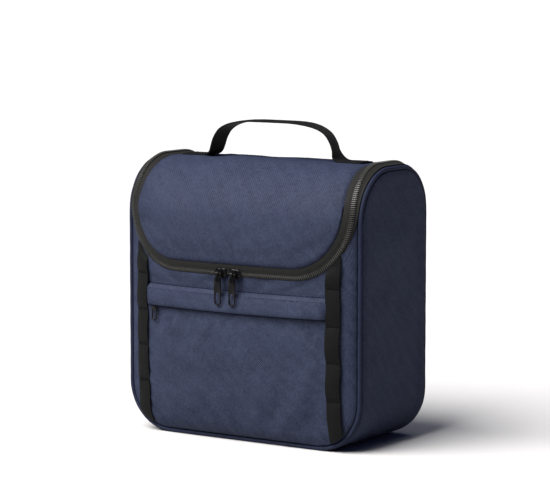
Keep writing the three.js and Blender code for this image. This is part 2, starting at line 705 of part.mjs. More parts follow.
addFrontPanels();
addBackPanels();
addGusset();
addPiping();
addLid();
addMainZip();
addHingeTrim();
addPocket();
addGearStrips();
addSliders();
addHandle();

export default group;
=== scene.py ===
"""Navy wash bag: a padded fabric shell with a lid zipped round three sides, a flapped pocket, gear strips
and a webbing handle.

Sizes are in millimetres and become metres as each mesh is made. +X is the right-hand side seen from the
front, -Y is the front and +Z is up. A point of the front, top and back is (x, s, h): s is the distance from
the front bottom edge, up the front, over the top and down the back, and h is the height out of that surface.
"""
import logging
import math
from dataclasses import dataclass, field
from enum import Enum
from typing import Sequence

import bpy
import numpy as np
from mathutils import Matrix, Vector


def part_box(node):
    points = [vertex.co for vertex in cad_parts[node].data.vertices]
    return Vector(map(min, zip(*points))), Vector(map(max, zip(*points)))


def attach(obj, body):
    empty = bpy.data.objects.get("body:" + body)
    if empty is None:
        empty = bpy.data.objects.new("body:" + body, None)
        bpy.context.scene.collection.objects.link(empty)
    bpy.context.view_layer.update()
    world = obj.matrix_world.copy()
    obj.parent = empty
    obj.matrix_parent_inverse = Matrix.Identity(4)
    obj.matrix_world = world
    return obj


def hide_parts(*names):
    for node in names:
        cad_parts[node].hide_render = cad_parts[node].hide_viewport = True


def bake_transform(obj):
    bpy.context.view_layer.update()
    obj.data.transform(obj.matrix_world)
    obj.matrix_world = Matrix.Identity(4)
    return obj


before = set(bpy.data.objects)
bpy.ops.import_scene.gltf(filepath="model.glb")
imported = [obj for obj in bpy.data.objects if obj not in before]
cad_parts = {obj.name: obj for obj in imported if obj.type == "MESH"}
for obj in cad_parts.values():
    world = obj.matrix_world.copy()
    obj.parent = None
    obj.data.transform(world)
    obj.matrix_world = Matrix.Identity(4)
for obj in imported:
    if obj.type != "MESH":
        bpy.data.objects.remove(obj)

Array = np.ndarray
MM = 0.001
log = logging.getLogger("wash_bag")


# --------------------------------------------------------------------------------------------------
# Finishes.


def linear(hex_colour: str) -> tuple[float, float, float, float]:
    """Turn an sRGB hex colour to linear light.

    Args:
        hex_colour: six hex digits after a #.

    Returns:
        Red, green, blue and alpha, from 0 to 1.
    """
    channels = [int(hex_colour[k : k + 2], 16) / 255 for k in (1, 3, 5)]
    lit = [c / 12.92 if c <= 0.04045 else ((c + 0.055) / 1.055) ** 2.4 for c in channels]
    return (*lit, 1.0)


def add_node(tree: bpy.types.NodeTree, kind: str, inputs: dict | None = None, **settings) -> bpy.types.Node:
    """Add a node with its settings and links.

    Args:
        tree: the material's or world's node tree.
        kind: the node's type, without the word ShaderNode in front.
        inputs: socket name or number to a value, or to the output socket that feeds it.
        **settings: the node's own properties.

    Returns:
        The new node.
    """
    made = tree.nodes.new("ShaderNode" + kind)
    for key, value in settings.items():
        setattr(made, key, value)
    for key, value in (inputs or {}).items():
        if isinstance(value, bpy.types.NodeSocket):
            tree.links.new(value, made.inputs[key])
        else:
            made.inputs[key].default_value = value
    return made


def new_material(name: str, **shader) -> tuple[bpy.types.NodeTree, bpy.types.Node]:
    """Start a material.

    Args:
        name: the material's name.
        **shader: Principled socket names, with _ for a space, and their constant values.

    Returns:
        Its node tree and its Principled shader.
    """
    material = bpy.data.materials.new(name)
    material.use_nodes = True
    tree = material.node_tree
    tree.nodes.clear()
    constants = {key.replace("_", " "): value for key, value in shader.items()}
    principled = add_node(tree, "BsdfPrincipled", constants)
    add_node(tree, "OutputMaterial", {"Surface": principled.outputs["BSDF"]})
    return tree, principled


def threads(tree: bpy.types.NodeTree, pitch: float, along: int) -> bpy.types.NodeSocket:
    """Rows of threads across the cloth, as a wave from -1 to 1.

    Args:
        tree: the material's node tree.
        pitch: distance between two rows, in millimetres.
        along: 0 where the rows follow one another across the cloth, 1 where they do along it.

    Returns:
        The wave.
    """
    cloth = add_node(tree, "UVMap", uv_map="cloth")
    axes = add_node(tree, "SeparateXYZ", {0: cloth.outputs[0]})
    turns = 2 * math.pi / (pitch * MM)
    angle = add_node(tree, "Math", {0: axes.outputs[along], 1: turns}, operation="MULTIPLY")
    return add_node(tree, "Math", {0: angle.outputs[0]}, operation="SINE").outputs[0]


@dataclass(frozen=True)
class WovenPolyester:
    """Coated plain-weave polyester: dyed in the yarn, so it is even in colour, with a low silky sheen."""

    slot: str = "navy_polyester"
    name: str = "Dyed woven polyester, navy"
    colour: str = "#303648"
    shaded: str = "#191d2d"  # in the troughs between threads and along the seams
    thread: float = 2.2  # real threads stand 0.45 apart and wouldn't show, so they are drawn coarser
    moire: float = 9.0  # width of the faint bands that two layers of weave make
    roughness: float = 0.62
    sheen: float = 0.05

    def build(self) -> bpy.types.Material:
        """Make the material.

        Returns:
            The material.
        """
        tree, shader = new_material(
            self.name,
            Roughness=self.roughness,
            IOR=1.5,
            Specular_IOR_Level=0.06,
            Sheen_Weight=self.sheen,
            Sheen_Roughness=0.45,
            Sheen_Tint=linear("#6d7699"),
        )
        place = add_node(tree, "TexCoord").outputs["Object"]
        warp, weft = threads(tree, self.thread, 0), threads(tree, self.thread, 1)
        weave = add_node(tree, "Math", {0: warp, 1: weft}, operation="MULTIPLY").outputs[0]
        cloth = add_node(tree, "UVMap", uv_map="cloth").outputs[0]
        bands = add_node(
            tree,
            "TexWave",
            {
                "Vector": cloth,
                "Scale": 0.31 / (self.moire * MM),
                "Distortion": 26.0,
                "Detail": 1.0,
                "Detail Scale": 0.16,
            },
            bands_direction="DIAGONAL",
        )
        mottle = add_node(
            tree, "TexNoise", {"Vector": place, "Scale": 1 / (28 * MM), "Detail": 3.0, "Roughness": 0.6}
        )
        slub = add_node(
            tree, "TexNoise", {"Vector": place, "Scale": 1 / (2.4 * MM), "Detail": 3.0, "Roughness": 0.75}
        )
        seam = add_node(tree, "Attribute", attribute_name="seam").outputs["Fac"]
        tone = add_node(tree, "Math", {0: weave, 1: 0.4, 2: -0.42}, operation="MULTIPLY_ADD").outputs[0]
        for source, share in (
            (bands.outputs["Fac"], -0.09), (mottle.outputs["Fac"], 0.6), (slub.outputs["Fac"], 1.5)
        ):
            tone = add_node(tree, "Math", {0: source, 1: share, 2: tone}, operation="MULTIPLY_ADD").outputs[0]
        tone = add_node(tree, "Math", {0: seam, 1: -0.35, 2: tone}, operation="MULTIPLY_ADD").outputs[0]
        colour = add_node(
            tree, "Mix", {
                "Factor": tone, "A": linear(self.shaded), "B": linear(self.colour)
            }, data_type="RGBA"
        )
        tree.links.new(colour.outputs["Result"], shader.inputs["Base Color"])
        fine = add_node(tree, "Bump", {"Height": weave, "Strength": 0.5, "Distance": 0.12 * MM})
        soft = add_node(
            tree,
            "Bump",
            {
                "Height": mottle.outputs["Fac"],
                "Strength": 0.5,
                "Distance": 0.9 * MM,
                "Normal": fine.outputs[0],
            },
        )
        tree.links.new(soft.outputs[0], shader.inputs["Normal"])
        return bpy.data.materials[self.name]


@dataclass(frozen=True)
class RibbedWebbing:
    """Woven polyester webbing or tape: fat ribs across it and cords along it, which catch the light."""

    slot: str
    name: str
    colour: str
    shaded: str
    rib: float  # distance between ribs
    cord: float  # distance between cords
    relief: float = 0.12
    roughness: float = 0.66
    sheen: float = 0.02

    def build(self) -> bpy.types.Material:
        """Make the material.

        Returns:
            The material.
        """
        tree, shader = new_material(
            self.name,
            Roughness=self.roughness,
            IOR=1.5,
            Specular_IOR_Level=0.08,
            Sheen_Weight=self.sheen,
            Sheen_Roughness=0.5,
        )
        ribs, cords = threads(tree, self.rib, 1), threads(tree, self.cord, 0)
        woven = add_node(tree, "Math", {0: ribs, 1: cords}, operation="MULTIPLY").outputs[0]
        relief = add_node(tree, "Math", {0: cords, 1: 0.4, 2: woven}, operation="MULTIPLY_ADD").outputs[0]
        place = add_node(tree, "TexCoord").outputs["Object"]
        fuzz = add_node(tree, "TexNoise", {"Vector": place, "Scale": 1 / (2.5 * MM), "Detail": 3.0})
        tone = add_node(tree, "Math", {0: relief, 1: 0.22, 2: 0.2}, operation="MULTIPLY_ADD").outputs[0]
        tone = add_node(
            tree, "Math", {0: fuzz.outputs["Fac"], 1: 0.6, 2: tone}, operation="MULTIPLY_ADD"
        ).outputs[0]
        colour = add_node(
            tree, "Mix", {
                "Factor": tone, "A": linear(self.shaded), "B": linear(self.colour)
            }, data_type="RGBA"
        )
        tree.links.new(colour.outputs["Result"], shader.inputs["Base Color"])
        bump = add_node(tree, "Bump", {"Height": relief, "Strength": 0.8, "Distance": self.relief * MM})
        tree.links.new(bump.outputs[0], shader.inputs["Normal"])
        return bpy.data.materials[self.name]


@dataclass(frozen=True)
class SewingThread:
    """Twisted polyester thread: two plies wound round each other, slightly glossy."""

    slot: str
    name: str
    colour: str
    twist: float = 0.8  # length of one turn of the ply

    def build(self) -> bpy.types.Material:
        """Make the material.

        Returns:
            The material.
        """
        tree, shader = new_material(self.name, Roughness=0.6, IOR=1.5, Specular_IOR_Level=0.12)
        place = add_node(tree, "TexCoord").outputs["Object"]
        ply = add_node(tree, "TexNoise", {"Vector": place, "Scale": 1 / (self.twist * MM), "Detail": 2.0})
        dark = [c * 0.6 for c in linear(self.colour)[:3]] + [1.0]
        colour = add_node(
            tree, "Mix", {"Factor": ply.outputs["Fac"], "A": dark, "B": linear(self.colour)}, data_type="RGBA"
        )
        tree.links.new(colour.outputs["Result"], shader.inputs["Base Color"])
        bump = add_node(tree, "Bump", {"Height": ply.outputs["Fac"], "Strength": 0.5, "Distance": 0.08 * MM})
        tree.links.new(bump.outputs[0], shader.inputs["Normal"])
        return bpy.data.materials[self.name]


@dataclass(frozen=True)
class MouldedNylon:
    """Drawn and coiled nylon monofilament: smooth and semi-gloss, with a faint draw grain."""

    slot: str = "nylon_coil"
    name: str = "Nylon zip coil, black"
    # colour: black nylon lifted to a dark grey, lighter than the tape, as painted highlight for the glints
    # along the coil
    colour: str = "#2a2a28"

    def build(self) -> bpy.types.Material:
        """Make the material.

        Returns:
            The material.
        """
        tree, shader = new_material(self.name, IOR=1.53)
        place = add_node(tree, "TexCoord").outputs["Object"]
        grain = add_node(tree, "TexNoise", {"Vector": place, "Scale": 1 / (0.9 * MM), "Detail": 2.0})
        gloss = add_node(
            tree, "MapRange", {"Value": grain.outputs["Fac"], "To Min": 0.3, "To Max": 0.48}
        )
        tree.links.new(gloss.outputs[0], shader.inputs["Roughness"])
        light = [c * 1.7 for c in linear(self.colour)[:3]] + [1.0]
        colour = add_node(
            tree, "Mix", {
                "Factor": grain.outputs["Fac"], "A": linear(self.colour), "B": light
            }, data_type="RGBA"
        )
        tree.links.new(colour.outputs["Result"], shader.inputs["Base Color"])
        return bpy.data.materials[self.name]


@dataclass(frozen=True)
class BlackEnamel:
    """Stoved black enamel on die-cast zinc: glossy, with orange peel, and rubbed grey along its edges."""

    slot: str = "black_enamel"
    name: str = "Stoved enamel on zinc, black"
    colour: str = "#060607"
    rubbed: str = "#26272a"

    def build(self) -> bpy.types.Material:
        """Make the material.

        Returns:
            The material.
        """
        tree, shader = new_material(
            self.name, Coat_Weight=0.05, Coat_Roughness=0.1, IOR=1.5, Specular_IOR_Level=0.12
        )
        place = add_node(tree, "TexCoord").outputs["Object"]
        peel = add_node(tree, "TexNoise", {"Vector": place, "Scale": 1 / (1.4 * MM), "Detail": 2.0})
        scuff = add_node(tree, "TexNoise", {"Vector": place, "Scale": 1 / (0.7 * MM), "Detail": 4.0})
        edge = add_node(tree, "Attribute", attribute_name="seam").outputs["Fac"]
        worn = add_node(tree, "Math", {0: edge, 1: scuff.outputs["Fac"]}, operation="MULTIPLY").outputs[0]
        worn = add_node(tree, "MapRange", {"Value": worn, "From Min": 0.45, "From Max": 0.75}).outputs[0]
        colour = add_node(
            tree, "Mix", {
                "Factor": worn, "A": linear(self.colour), "B": linear(self.rubbed)
            }, data_type="RGBA"
        )
        tree.links.new(colour.outputs["Result"], shader.inputs["Base Color"])
        gloss = add_node(tree, "MapRange", {"Value": scuff.outputs["Fac"], "To Min": 0.15, "To Max": 0.3})
        tree.links.new(gloss.outputs[0], shader.inputs["Roughness"])
        bump = add_node(tree, "Bump", {"Height": peel.outputs["Fac"], "Strength": 0.3, "Distance": 0.05 * MM})
        tree.links.new(bump.outputs[0], shader.inputs["Normal"])
        return bpy.data.materials[self.name]


@dataclass(frozen=True)
class PalePaper:
    """Matt seamless background paper, rolled out flat."""

    name: str = "Seamless paper, pale"
    colour: str = "#bcbcbc"

    def build(self) -> bpy.types.Material:
        """Make the material.

        Returns:
            The material.
        """
        tree, shader = new_material(self.name, Roughness=0.9, Specular_IOR_Level=0.2)
        grain = add_node(tree, "TexNoise", {"Scale": 400.0, "Detail": 2.0})
        pale = [c * 0.97 for c in linear(self.colour)[:3]] + [1.0]
        colour = add_node(
            tree, "Mix", {
                "Factor": grain.outputs["Fac"], "A": pale, "B": linear(self.colour)
            }, data_type="RGBA"
        )
        tree.links.new(colour.outputs["Result"], shader.inputs["Base Color"])
        return bpy.data.materials[self.name]


class Side(Enum):
    """The bag's two sides, seen from the front, and which way x runs to them."""

    LEFT = -1
    RIGHT = 1


class Finish(Enum):
    """Every finish on the bag."""

    NAVY = WovenPolyester()
    # Cut on the bias and drawn tight round a cord. It is the panels' own navy, coloured darker as painted
    # shade, so it reads as one smooth darker line.
    PIPING = WovenPolyester("navy_polyester", "Bias-cut polyester piping, navy", "#222739", "#141826", 1.6)
    # Thin and close-woven, so the inside is a flat near-black.
    LINING = WovenPolyester(
        "nylon_lining", "Woven nylon lining, black", "#131419", "#0b0c0f", 1.4, 14.0, 0.5, 0.04
    )
    # Thick ribs, which give the strips and handle a coarse matt grain.
    WEBBING = RibbedWebbing("webbing", "Polyester webbing, black", "#0f0f0f", "#020202", 1.9, 2.5)
    # Finer ribs, and a worn charcoal that is lighter than the webbing.
    TAPE = RibbedWebbing("zip_tape", "Woven zip tape, charcoal", "#232322", "#0b0b0b", 1.6, 2.0, 0.09)
    # Close to the fabric's own colour, so the stitches show only by their relief.
    NAVY_THREAD = SewingThread("navy_polyester", "Polyester sewing thread, navy", "#232842")
    BLACK_THREAD = SewingThread("webbing", "Polyester sewing thread, black", "#0c0c0c")
    COIL = MouldedNylon()
    ENAMEL = BlackEnamel()
    PAPER = PalePaper()

    def material(self) -> bpy.types.Material:
        """The finish's material, made the first time it is asked for."""
        return bpy.data.materials.get(self.value.name) or self.value.build()


# --------------------------------------------------------------------------------------------------
# The bag's shape.


@dataclass(frozen=True)
class BagShape:
    """The surface that the front, top and back lie on, and the lines where its panels meet."""

    width: float = 240.0
    depth: float = 108.0
    height: float = 239.0
    corner: float = 43.0  # bottom corners, seen from the front
    top_front: float = 46.0  # top edges, seen from the side
    top_rear: float = 40.0
    front_fullness: float = 15.0
    back_fullness: float = 8.0
    seam_inset: float = 4.3  # from the bag's edge to the panels, where the piping is
    hinge_angle: float = 70.0  # degrees round the rear top edge
    lid_bottom: float = 155.0  # s of the lid's front edge
    lid_flat: float = 60.0  # half of that edge's straight stretch
    lid_side_s: float = 205.0  # where its rounded corner ends
    lid_side: float = 105.0  # half-width there
    lid_crest: float = 101.0  # half-width over the top
    lid_lift: float = 5.0  # height of the lid's front edge
    lid_lift_crest: float = 1.0
    mouth_bottom: float = 144.8  # s of the front panel's top edge

    @property
    def front_straight(self) -> float:
        """s where the front starts to curve back."""
        return self.height - self.top_front

    @property
    def crest_start(self) -> float:
        """s where the top starts to be flat."""
        return self.front_straight + self.top_front * math.pi / 2

    @property
    def rear_arc(self) -> float:
        """s where the top starts to curve down."""
        return self.crest_start + self.depth - self.top_front - self.top_rear

    @property
    def rear_straight(self) -> float:
        """s where the back is straight."""
        return self.rear_arc + self.top_rear * math.pi / 2

    @property
    def girth(self) -> float:
        """s of the back's bottom edge."""
        return self.rear_straight + self.height - self.top_rear

    @property
    def hinge_s(self) -> float:
        """s of the line that the lid turns on."""
        return self.rear_arc + self.top_rear * math.radians(self.hinge_angle)

    @property
    def corner_x(self) -> float:
        """x of the bottom corners' centres."""
        return self.width / 2 - self.corner

    @property
    def panel_half(self) -> float:
        """Half-width of the front and back panels."""
        return self.width / 2 - self.seam_inset

    @property
    def panel_corner(self) -> float:
        """Radius of the panels' bottom corners."""
        return self.corner - self.seam_inset

    @property
    def tape_edge(self) -> float:
        """x of the outer edge of the body's zip tape."""
        return self.panel_half - 0.3

    def profile(self, s: Array) -> tuple[Array, Array, Array, Array]:
        """The side view's outline.

        Args:
            s: distances along it.

        Returns:
            y and z of its points, and y and z of the outward directions there.
        """
        s = np.asarray(s, float)
        front = np.clip((s - self.front_straight) / self.top_front, 0, math.pi / 2)
        rear = np.clip((s - self.rear_arc) / self.top_rear, 0, math.pi / 2)
        flat = np.clip(s - self.crest_start, 0, self.rear_arc - self.crest_start)
        y = -self.depth / 2 + self.top_front * (1 - np.cos(front)) + flat + self.top_rear * np.sin(rear)
        z = np.minimum(s, self.front_straight) + self.top_front * np.sin(front)
        z = z - self.top_rear * (1 - np.cos(rear)) - np.maximum(0, s - self.rear_straight)
        return y, z, -np.cos(front + rear), np.sin(front + rear)

    def bottom_edge(self, x: Array) -> Array:
        """Height of the front and back panels' bottom edge at x."""
        past = np.maximum(0, np.abs(x) - self.corner_x)
        return self.corner - np.sqrt(np.maximum(0, self.panel_corner**2 - past**2))

    def half_width(self, z: Array) -> Array:
        """Half-width of the front and back panels at height z."""
        below = np.maximum(0, self.corner - z)
        return self.corner_x + np.sqrt(np.maximum(0, self.panel_corner**2 - below**2))

    def mouth_edge(self, x: Array) -> Array:
        """s of the front panel's top edge at x."""
        share = np.clip((np.abs(x) - self.lid_flat) / (self.tape_edge - self.lid_flat), 0, 1)
        return self.lid_side_s - (self.lid_side_s - self.mouth_bottom) * np.sqrt(1 - share**2)

    def lid_edge(self, x: Array) -> Array:
        """s of the lid's front edge and rounded corners at x."""
        share = np.clip((np.abs(x) - self.lid_flat) / (self.lid_side - self.lid_flat), 0, 1)
        return self.lid_side_s - (self.lid_side_s - self.lid_bottom) * np.sqrt(1 - share**2)

    def lid_half(self, s: Array) -> Array:
        """Half-width of the lid above its rounded corners."""
        share = np.clip((s - self.lid_side_s) / (self.crest_start - self.lid_side_s), 0, 1)
        return self.lid_side + (self.lid_crest - self.lid_side) * share

    def lid_height(self, s: Array) -> Array:
        """How far the lid stands above the surface.

        Args:
            s: distances up the front and over the top.

        Returns:
            The heights.
        """
        to_front = smooth(self.crest_start - s, 0, self.crest_start - self.lid_bottom)
        to_hinge = smooth(s, self.rear_arc, self.hinge_s)
        return self.lid_lift_crest * (1 - to_hinge) + (self.lid_lift - self.lid_lift_crest) * to_front

    def swell(self, x: Array, s: Array) -> Array:
        """How far the filled bag swells out.

        Args:
            x: sideways places.
            s: distances up the front and over the top.

        Returns:
            The swell, which is 0 along every seam.
        """
        x, s = np.broadcast_arrays(np.asarray(x, float), np.asarray(s, float))
        front = s < self.rear_arc
        z = np.where(
            front, np.minimum(s, self.front_straight), np.minimum(self.girth - s, self.height - self.top_rear)
        )
        across = np.maximum(0, 1 - (x / self.half_width(z)) ** 2) ** 0.65
        rise = np.clip((s - self.seam_inset) / 100, 0, 1)
        fall = np.maximum(0, (s - 130) / (self.crest_start - 130))
        out = self.front_fullness * (1 - (1 - rise) ** 2) ** 0.6 * np.maximum(0, 1 - fall**2)
        t = np.clip((s - self.hinge_s) / (self.girth - self.seam_inset - self.hinge_s), 0, 1)
        back = self.back_fullness * (4 * t * (1 - t)) ** 0.7
        return across * np.where(front, out, back)

    def point(self, x: Array, s: Array, h: Array | float = 0.0) -> Array:
        """Points at (x, s), h above the surface.

        Args:
            x: sideways places.
            s: distances up the front and over the top.
            h: heights.

        Returns:
            The points, with x, y and z last.
        """
        y, z, ny, nz = self.profile(s)
        out = self.swell(x, s) + h
        return np.stack(np.broadcast_arrays(x, y + ny * out, z + nz * out), axis=-1)

    def normal(self, x: Array, s: Array) -> Array:
        """Outward directions square to the surface.

        Args:
            x: sideways places.
            s: distances up the front and over the top.

        Returns:
            The directions, each 1 long.
        """
        step = 0.5
        right = self.point(x + step, s) - self.point(x - step, s)
        up = self.point(x, s + step) - self.point(x, s - step)
        return unit(np.cross(right, up))


def smooth(value: Array, low: float, high: float) -> Array:
    """An even rise from 0 at low to 1 at high, level at both ends."""
    t = np.clip((value - low) / (high - low), 0, 1)
    return t * t * (3 - 2 * t)


def unit(vectors: Array) -> Array:
    """The vectors, each made 1 long."""
    return vectors / np.maximum(1e-9, np.linalg.norm(vectors, axis=-1, keepdims=True))


SHAPE = BagShape()


@dataclass(frozen=True)
class Crinkle:
    """Soft waves that stay the same on every run: a sum of straight waves with random directions."""

    seed: int
    wavelength: float
    height: float
    waves: int = 9
    heading: float | None = None  # degrees; None for every direction
    spread: float = 0.5  # radians about the heading

    def at(self, x: Array, s: Array) -> Array:
        """Work out the waves.

        Args:
            x: places across the cloth.
            s: places along it.

        Returns:
            The waves' heights.
        """
        rng = np.random.default_rng(self.seed)
        total = np.zeros(np.broadcast(x, s).shape)
        for _ in range(self.waves):
            angle = rng.uniform(0, 2 * math.pi)
            if self.heading is not None:
                angle = math.radians(self.heading) + rng.normal(0, self.spread)
            turns = 2 * math.pi / (self.wavelength * rng.uniform(0.65, 1.6))
            bend = 0.35 * np.sin(
                0.5 * turns * (s * math.cos(angle) - x * math.sin(angle)) + rng.uniform(0, 6)
            )
            total = total + np.sin(
                turns * (x * math.cos(angle) + s * math.sin(angle)) + rng.uniform(0, 6) + bend
            )
        return self.height * total / math.sqrt(self.waves)


def crinkles(x: Array, s: Array, seed: int, sizes: Sequence[tuple[float, float]]) -> Array:
    """Several sets of soft waves, added up.

    Args:
        x: places across the cloth.
        s: places along it.
        seed: which waves.
        sizes: wavelength and height of each set.

    Returns:
        The waves' heights.
    """
    return sum(Crinkle(seed + k, *size).at(x, s) for k, size in enumerate(sizes))


def pucker(
    along: Array, inward: Array, seed: int, pitch: float = 9.0, height: float = 0.35, reach: float = 13.0
) -> Array:
    """Small gathers beside a seam, which fade away from it.

    Args:
        along: distances along the seam.
        inward: distances from the seam.
        seed: which gathers.
        pitch: usual distance between them.
        height: their height at the seam.
        reach: how far they run into the panel.

    Returns:
        Their heights.
    """
    rng = np.random.default_rng(seed)
    total = np.zeros(np.broadcast(along, inward).shape)
    for _ in range(4):
        turns = 2 * math.pi / (pitch * rng.uniform(0.6, 1.8))
        total = total + np.sin(turns * along + rng.uniform(0, 6) + 0.04 * inward)
    near = np.exp(-inward / reach) * (1 - np.exp(-inward / 2.5))
    return height * total * near


# --------------------------------------------------------------------------------------------------
# Meshes.


@dataclass
class Surface:
    """Points, faces, flat cloth places and nearness to a seam, of one mesh in the making."""

    points: Array
    faces: list
    cloth: Array
    seam: Array | None = None

    def __add__(self, other: "Surface") -> "Surface":
        """Join two surfaces.

        Args:
            other: the second one.

        Returns:
            Both as one.
        """
        first = len(self.points)
        seams = [p.seam if p.seam is not None else np.zeros(len(p.points)) for p in (self, other)]
        return Surface(
            np.concatenate([self.points, other.points]),
            [*self.faces, *[[first + v for v in f] for f in other.faces]],
            np.concatenate([self.cloth, other.cloth]),
            np.concatenate(seams),
        )


def grid_faces(columns: int, rows: int, first: int = 0, flip: bool = False) -> list:
    """Squares of a grid of points.

    Args:
        columns: how many columns of points.
        rows: how many points in each.
        first: number of the first point. The others follow, column by column.
        flip: whether the squares face the other way.

    Returns:
        The faces.
    """
    corner = (np.arange(columns - 1)[:, None] * rows + np.arange(rows - 1)[None, :]).ravel() + first
    quads = np.stack([corner, corner + rows, corner + rows + 1, corner + 1], axis=1)
    return (quads[:, ::-1] if flip else quads).tolist()


def closed_sheet(
    outer: Array, inner: Array, cloth: Array, rim: float = 0.3, seam: Array | None = None
) -> Surface:
    """A closed sheet with a rounded rim.

    Args:
        outer: grid of outside points, columns to the right and rows upwards seen from outside.
        inner: grid of inside points.
        cloth: grid of flat places, two numbers each.
        rim: how far the rim stands out beyond the grid.
        seam: grid of nearness to a seam, from 0 to 1.

    Returns:
        The sheet.
    """
    columns, rows = outer.shape[:2]
    i = [*range(columns), *[columns - 1] * (rows - 1), *range(columns - 2, -1, -1), *[0] * (rows - 2)]
    j = [*[0] * columns, *range(1, rows), *[rows - 1] * (columns - 1), *range(rows - 2, 0, -1)]
    i, j = np.array(i), np.array(j)
    inside = np.clip(i, 1, columns - 2), np.clip(j, 1, rows - 2)
    out = unit(outer[i, j] - outer[inside])
    middle = (outer[i, j] + inner[i, j]) / 2 + out * rim
    size = columns * rows
    face = i * rows + j
    ring = 2 * size + np.arange(len(i))
    following = np.roll(np.arange(len(i)), -1)
    sides = [
        np.stack([face[following], face, ring, ring[following]], axis=1),
        np.stack([ring[following], ring, face + size, face[following] + size], axis=1),
    ]
    faces = [
        *grid_faces(columns, rows), *grid_faces(columns, rows, size, True), *np.concatenate(sides).tolist()
    ]
    points = np.concatenate([outer.reshape(-1, 3), inner.reshape(-1, 3), middle])
    flat = cloth.reshape(-1, 2)
    nearness = np.zeros((columns, rows)) if seam is None else seam
    return Surface(
        points,
        faces,
        np.concatenate([flat, flat, cloth[i, j]]),
        np.concatenate([nearness.ravel(), nearness.ravel(), nearness[i, j]]),
    )


def saddle_sheet(
    x: Array, s: Array, outer: Array, inner: Array, rim: float = 0.3, seam: Array | None = None
) -> Surface:
    """A closed sheet that lies on the bag's surface.

    Args:
        x: grid of sideways places.
        s: grid of distances up the front and over the top.
        outer: grid of heights of its outer side.
        inner: grid of heights of its inner side.
        rim: how far its rim stands out beyond the grid.
        seam: grid of nearness to a seam, from 0 to 1.

    Returns:
        The sheet.
    """
    x, s = np.broadcast_arrays(x, s)
    cloth = np.stack([x, s], axis=-1)
    return closed_sheet(SHAPE.point(x, s, outer), SHAPE.point(x, s, inner), cloth, rim, seam)


def loops(rings: Sequence[Array], closed: bool) -> Surface:
    """A skin over rings of points.

    Args:
        rings: rings with the same number of points each, which turn anticlockwise seen from the last ring.
        closed: whether the last ring joins the first. If not, both ends are capped.

    Returns:
        The skin.
    """
    grid = np.stack(rings)
    count, sides = grid.shape[:2]
    here = np.arange(count if closed else count - 1)[:, None]
    k = np.arange(sides)[None, :]
    after, turn = (here + 1) % count, (k + 1) % sides
    quads = np.stack(
        [here * sides + k, here * sides + turn, after * sides + turn, after * sides + k], axis=-1
    )
    faces = quads.reshape(-1, 4).tolist()
    if not closed:
        faces.append(list(range(sides - 1, -1, -1)))
        faces.append([(count - 1) * sides + m for m in range(sides)])
    girth = np.linspace(0, np.linalg.norm(grid[0] - np.roll(grid[0], 1, axis=0), axis=1).sum(), sides)
    cloth = np.stack(np.meshgrid(girth, distances(grid[:, 0])), axis=-1).reshape(-1, 2)
    return Surface(grid.reshape(-1, 3), faces, cloth)


def bars(start: Array, end: Array, up: Array, width: float, height: float, blunt: float = 0.55) -> Surface:
    """Many small round-ended bars, such as stitches or zip teeth.

    Args:
        start: where each bar starts.
        end: where each bar ends.
        up: which way the bar's height points.
        width: width of a bar.
        height: height of a bar.
        blunt: width at a bar's very end, as a share of its width.

    Returns:
        The bars.
    """
    along = unit(end - start)
    side = unit(np.cross(along, up))
    rise = np.cross(side, along)
    sides = 6
    angles = np.arange(sides) * 2 * math.pi / sides
    rings = []
    for share, scale in ((0.0, blunt), (0.16, 1.0), (0.84, 1.0), (1.0, blunt)):
        middle = start + (end - start) * share
        offset = side[:, None] * (np.cos(angles) * width / 2 * scale)[None, :, None]
        offset = offset + rise[:, None] * (np.sin(angles) * height / 2 * scale)[None, :, None]
        rings.append(middle[:, None] + offset)
    points = np.stack(rings, axis=1)  # bar, ring, side
    whole = len(rings) * sides
    faces = [[0, 1, 2, 3, 4, 5], [*range(whole - 1, whole - 1 - sides, -1)]]
    for low in range(0, whole - sides, sides):
        for k in range(sides):
            turn = (k + 1) % sides
            faces.append([low + sides + k, low + sides + turn, low + turn, low + k])
    numbered = [[bar * whole + v for v in face] for bar in range(len(points)) for face in faces]
    return Surface(points.reshape(-1, 3), numbered, points.reshape(-1, 3)[:, :2])


def distances(line: Array) -> Array:
    """How far along a line of points each point is."""
    return np.concatenate([[0], np.cumsum(np.linalg.norm(np.diff(line, axis=0), axis=1))])


def resample(line: Array, pitch: float) -> Array:
    """Even places along a line of points.

    Args:
        line: the points.
        pitch: from one place to the next.

    Returns:
        The places, as fractional point numbers.
    """
    along = distances(line)
    wanted = np.arange(pitch / 2, along[-1], pitch)
    return np.interp(wanted, along, np.arange(len(line)))


def pick(line: Array, places: Array) -> Array:
    """Points of a line between its own points.

    Args:
        line: the line's points.
        places: fractional point numbers.

    Returns:
        The points there.
    """
    low = np.clip(np.floor(places).astype(int), 0, len(line) - 2)
    share = (places - low)[:, None]
    return line[low] * (1 - share) + line[low + 1] * share


def stitches(line: Array, up: Array, pitch: float = 3.0, length: float = 2.3, thick: float = 0.42) -> Surface:
    """A row of lock stitches along a line of points.

    Args:
        line: points on the cloth.
        up: outward directions there.
        pitch: from one stitch to the next.
        length: visible length of a stitch.
        thick: thread thickness.

    Returns:
        The stitches.
    """
    places = resample(line, pitch)
    along = np.linalg.norm(np.diff(line, axis=0), axis=1).mean()
    half = length / 2 / along
    start, end = pick(line, places - half), pick(line, places + half)
    outward = pick(up, places)
    return bars(start, end, outward, thick, thick * 0.8, 0.35)


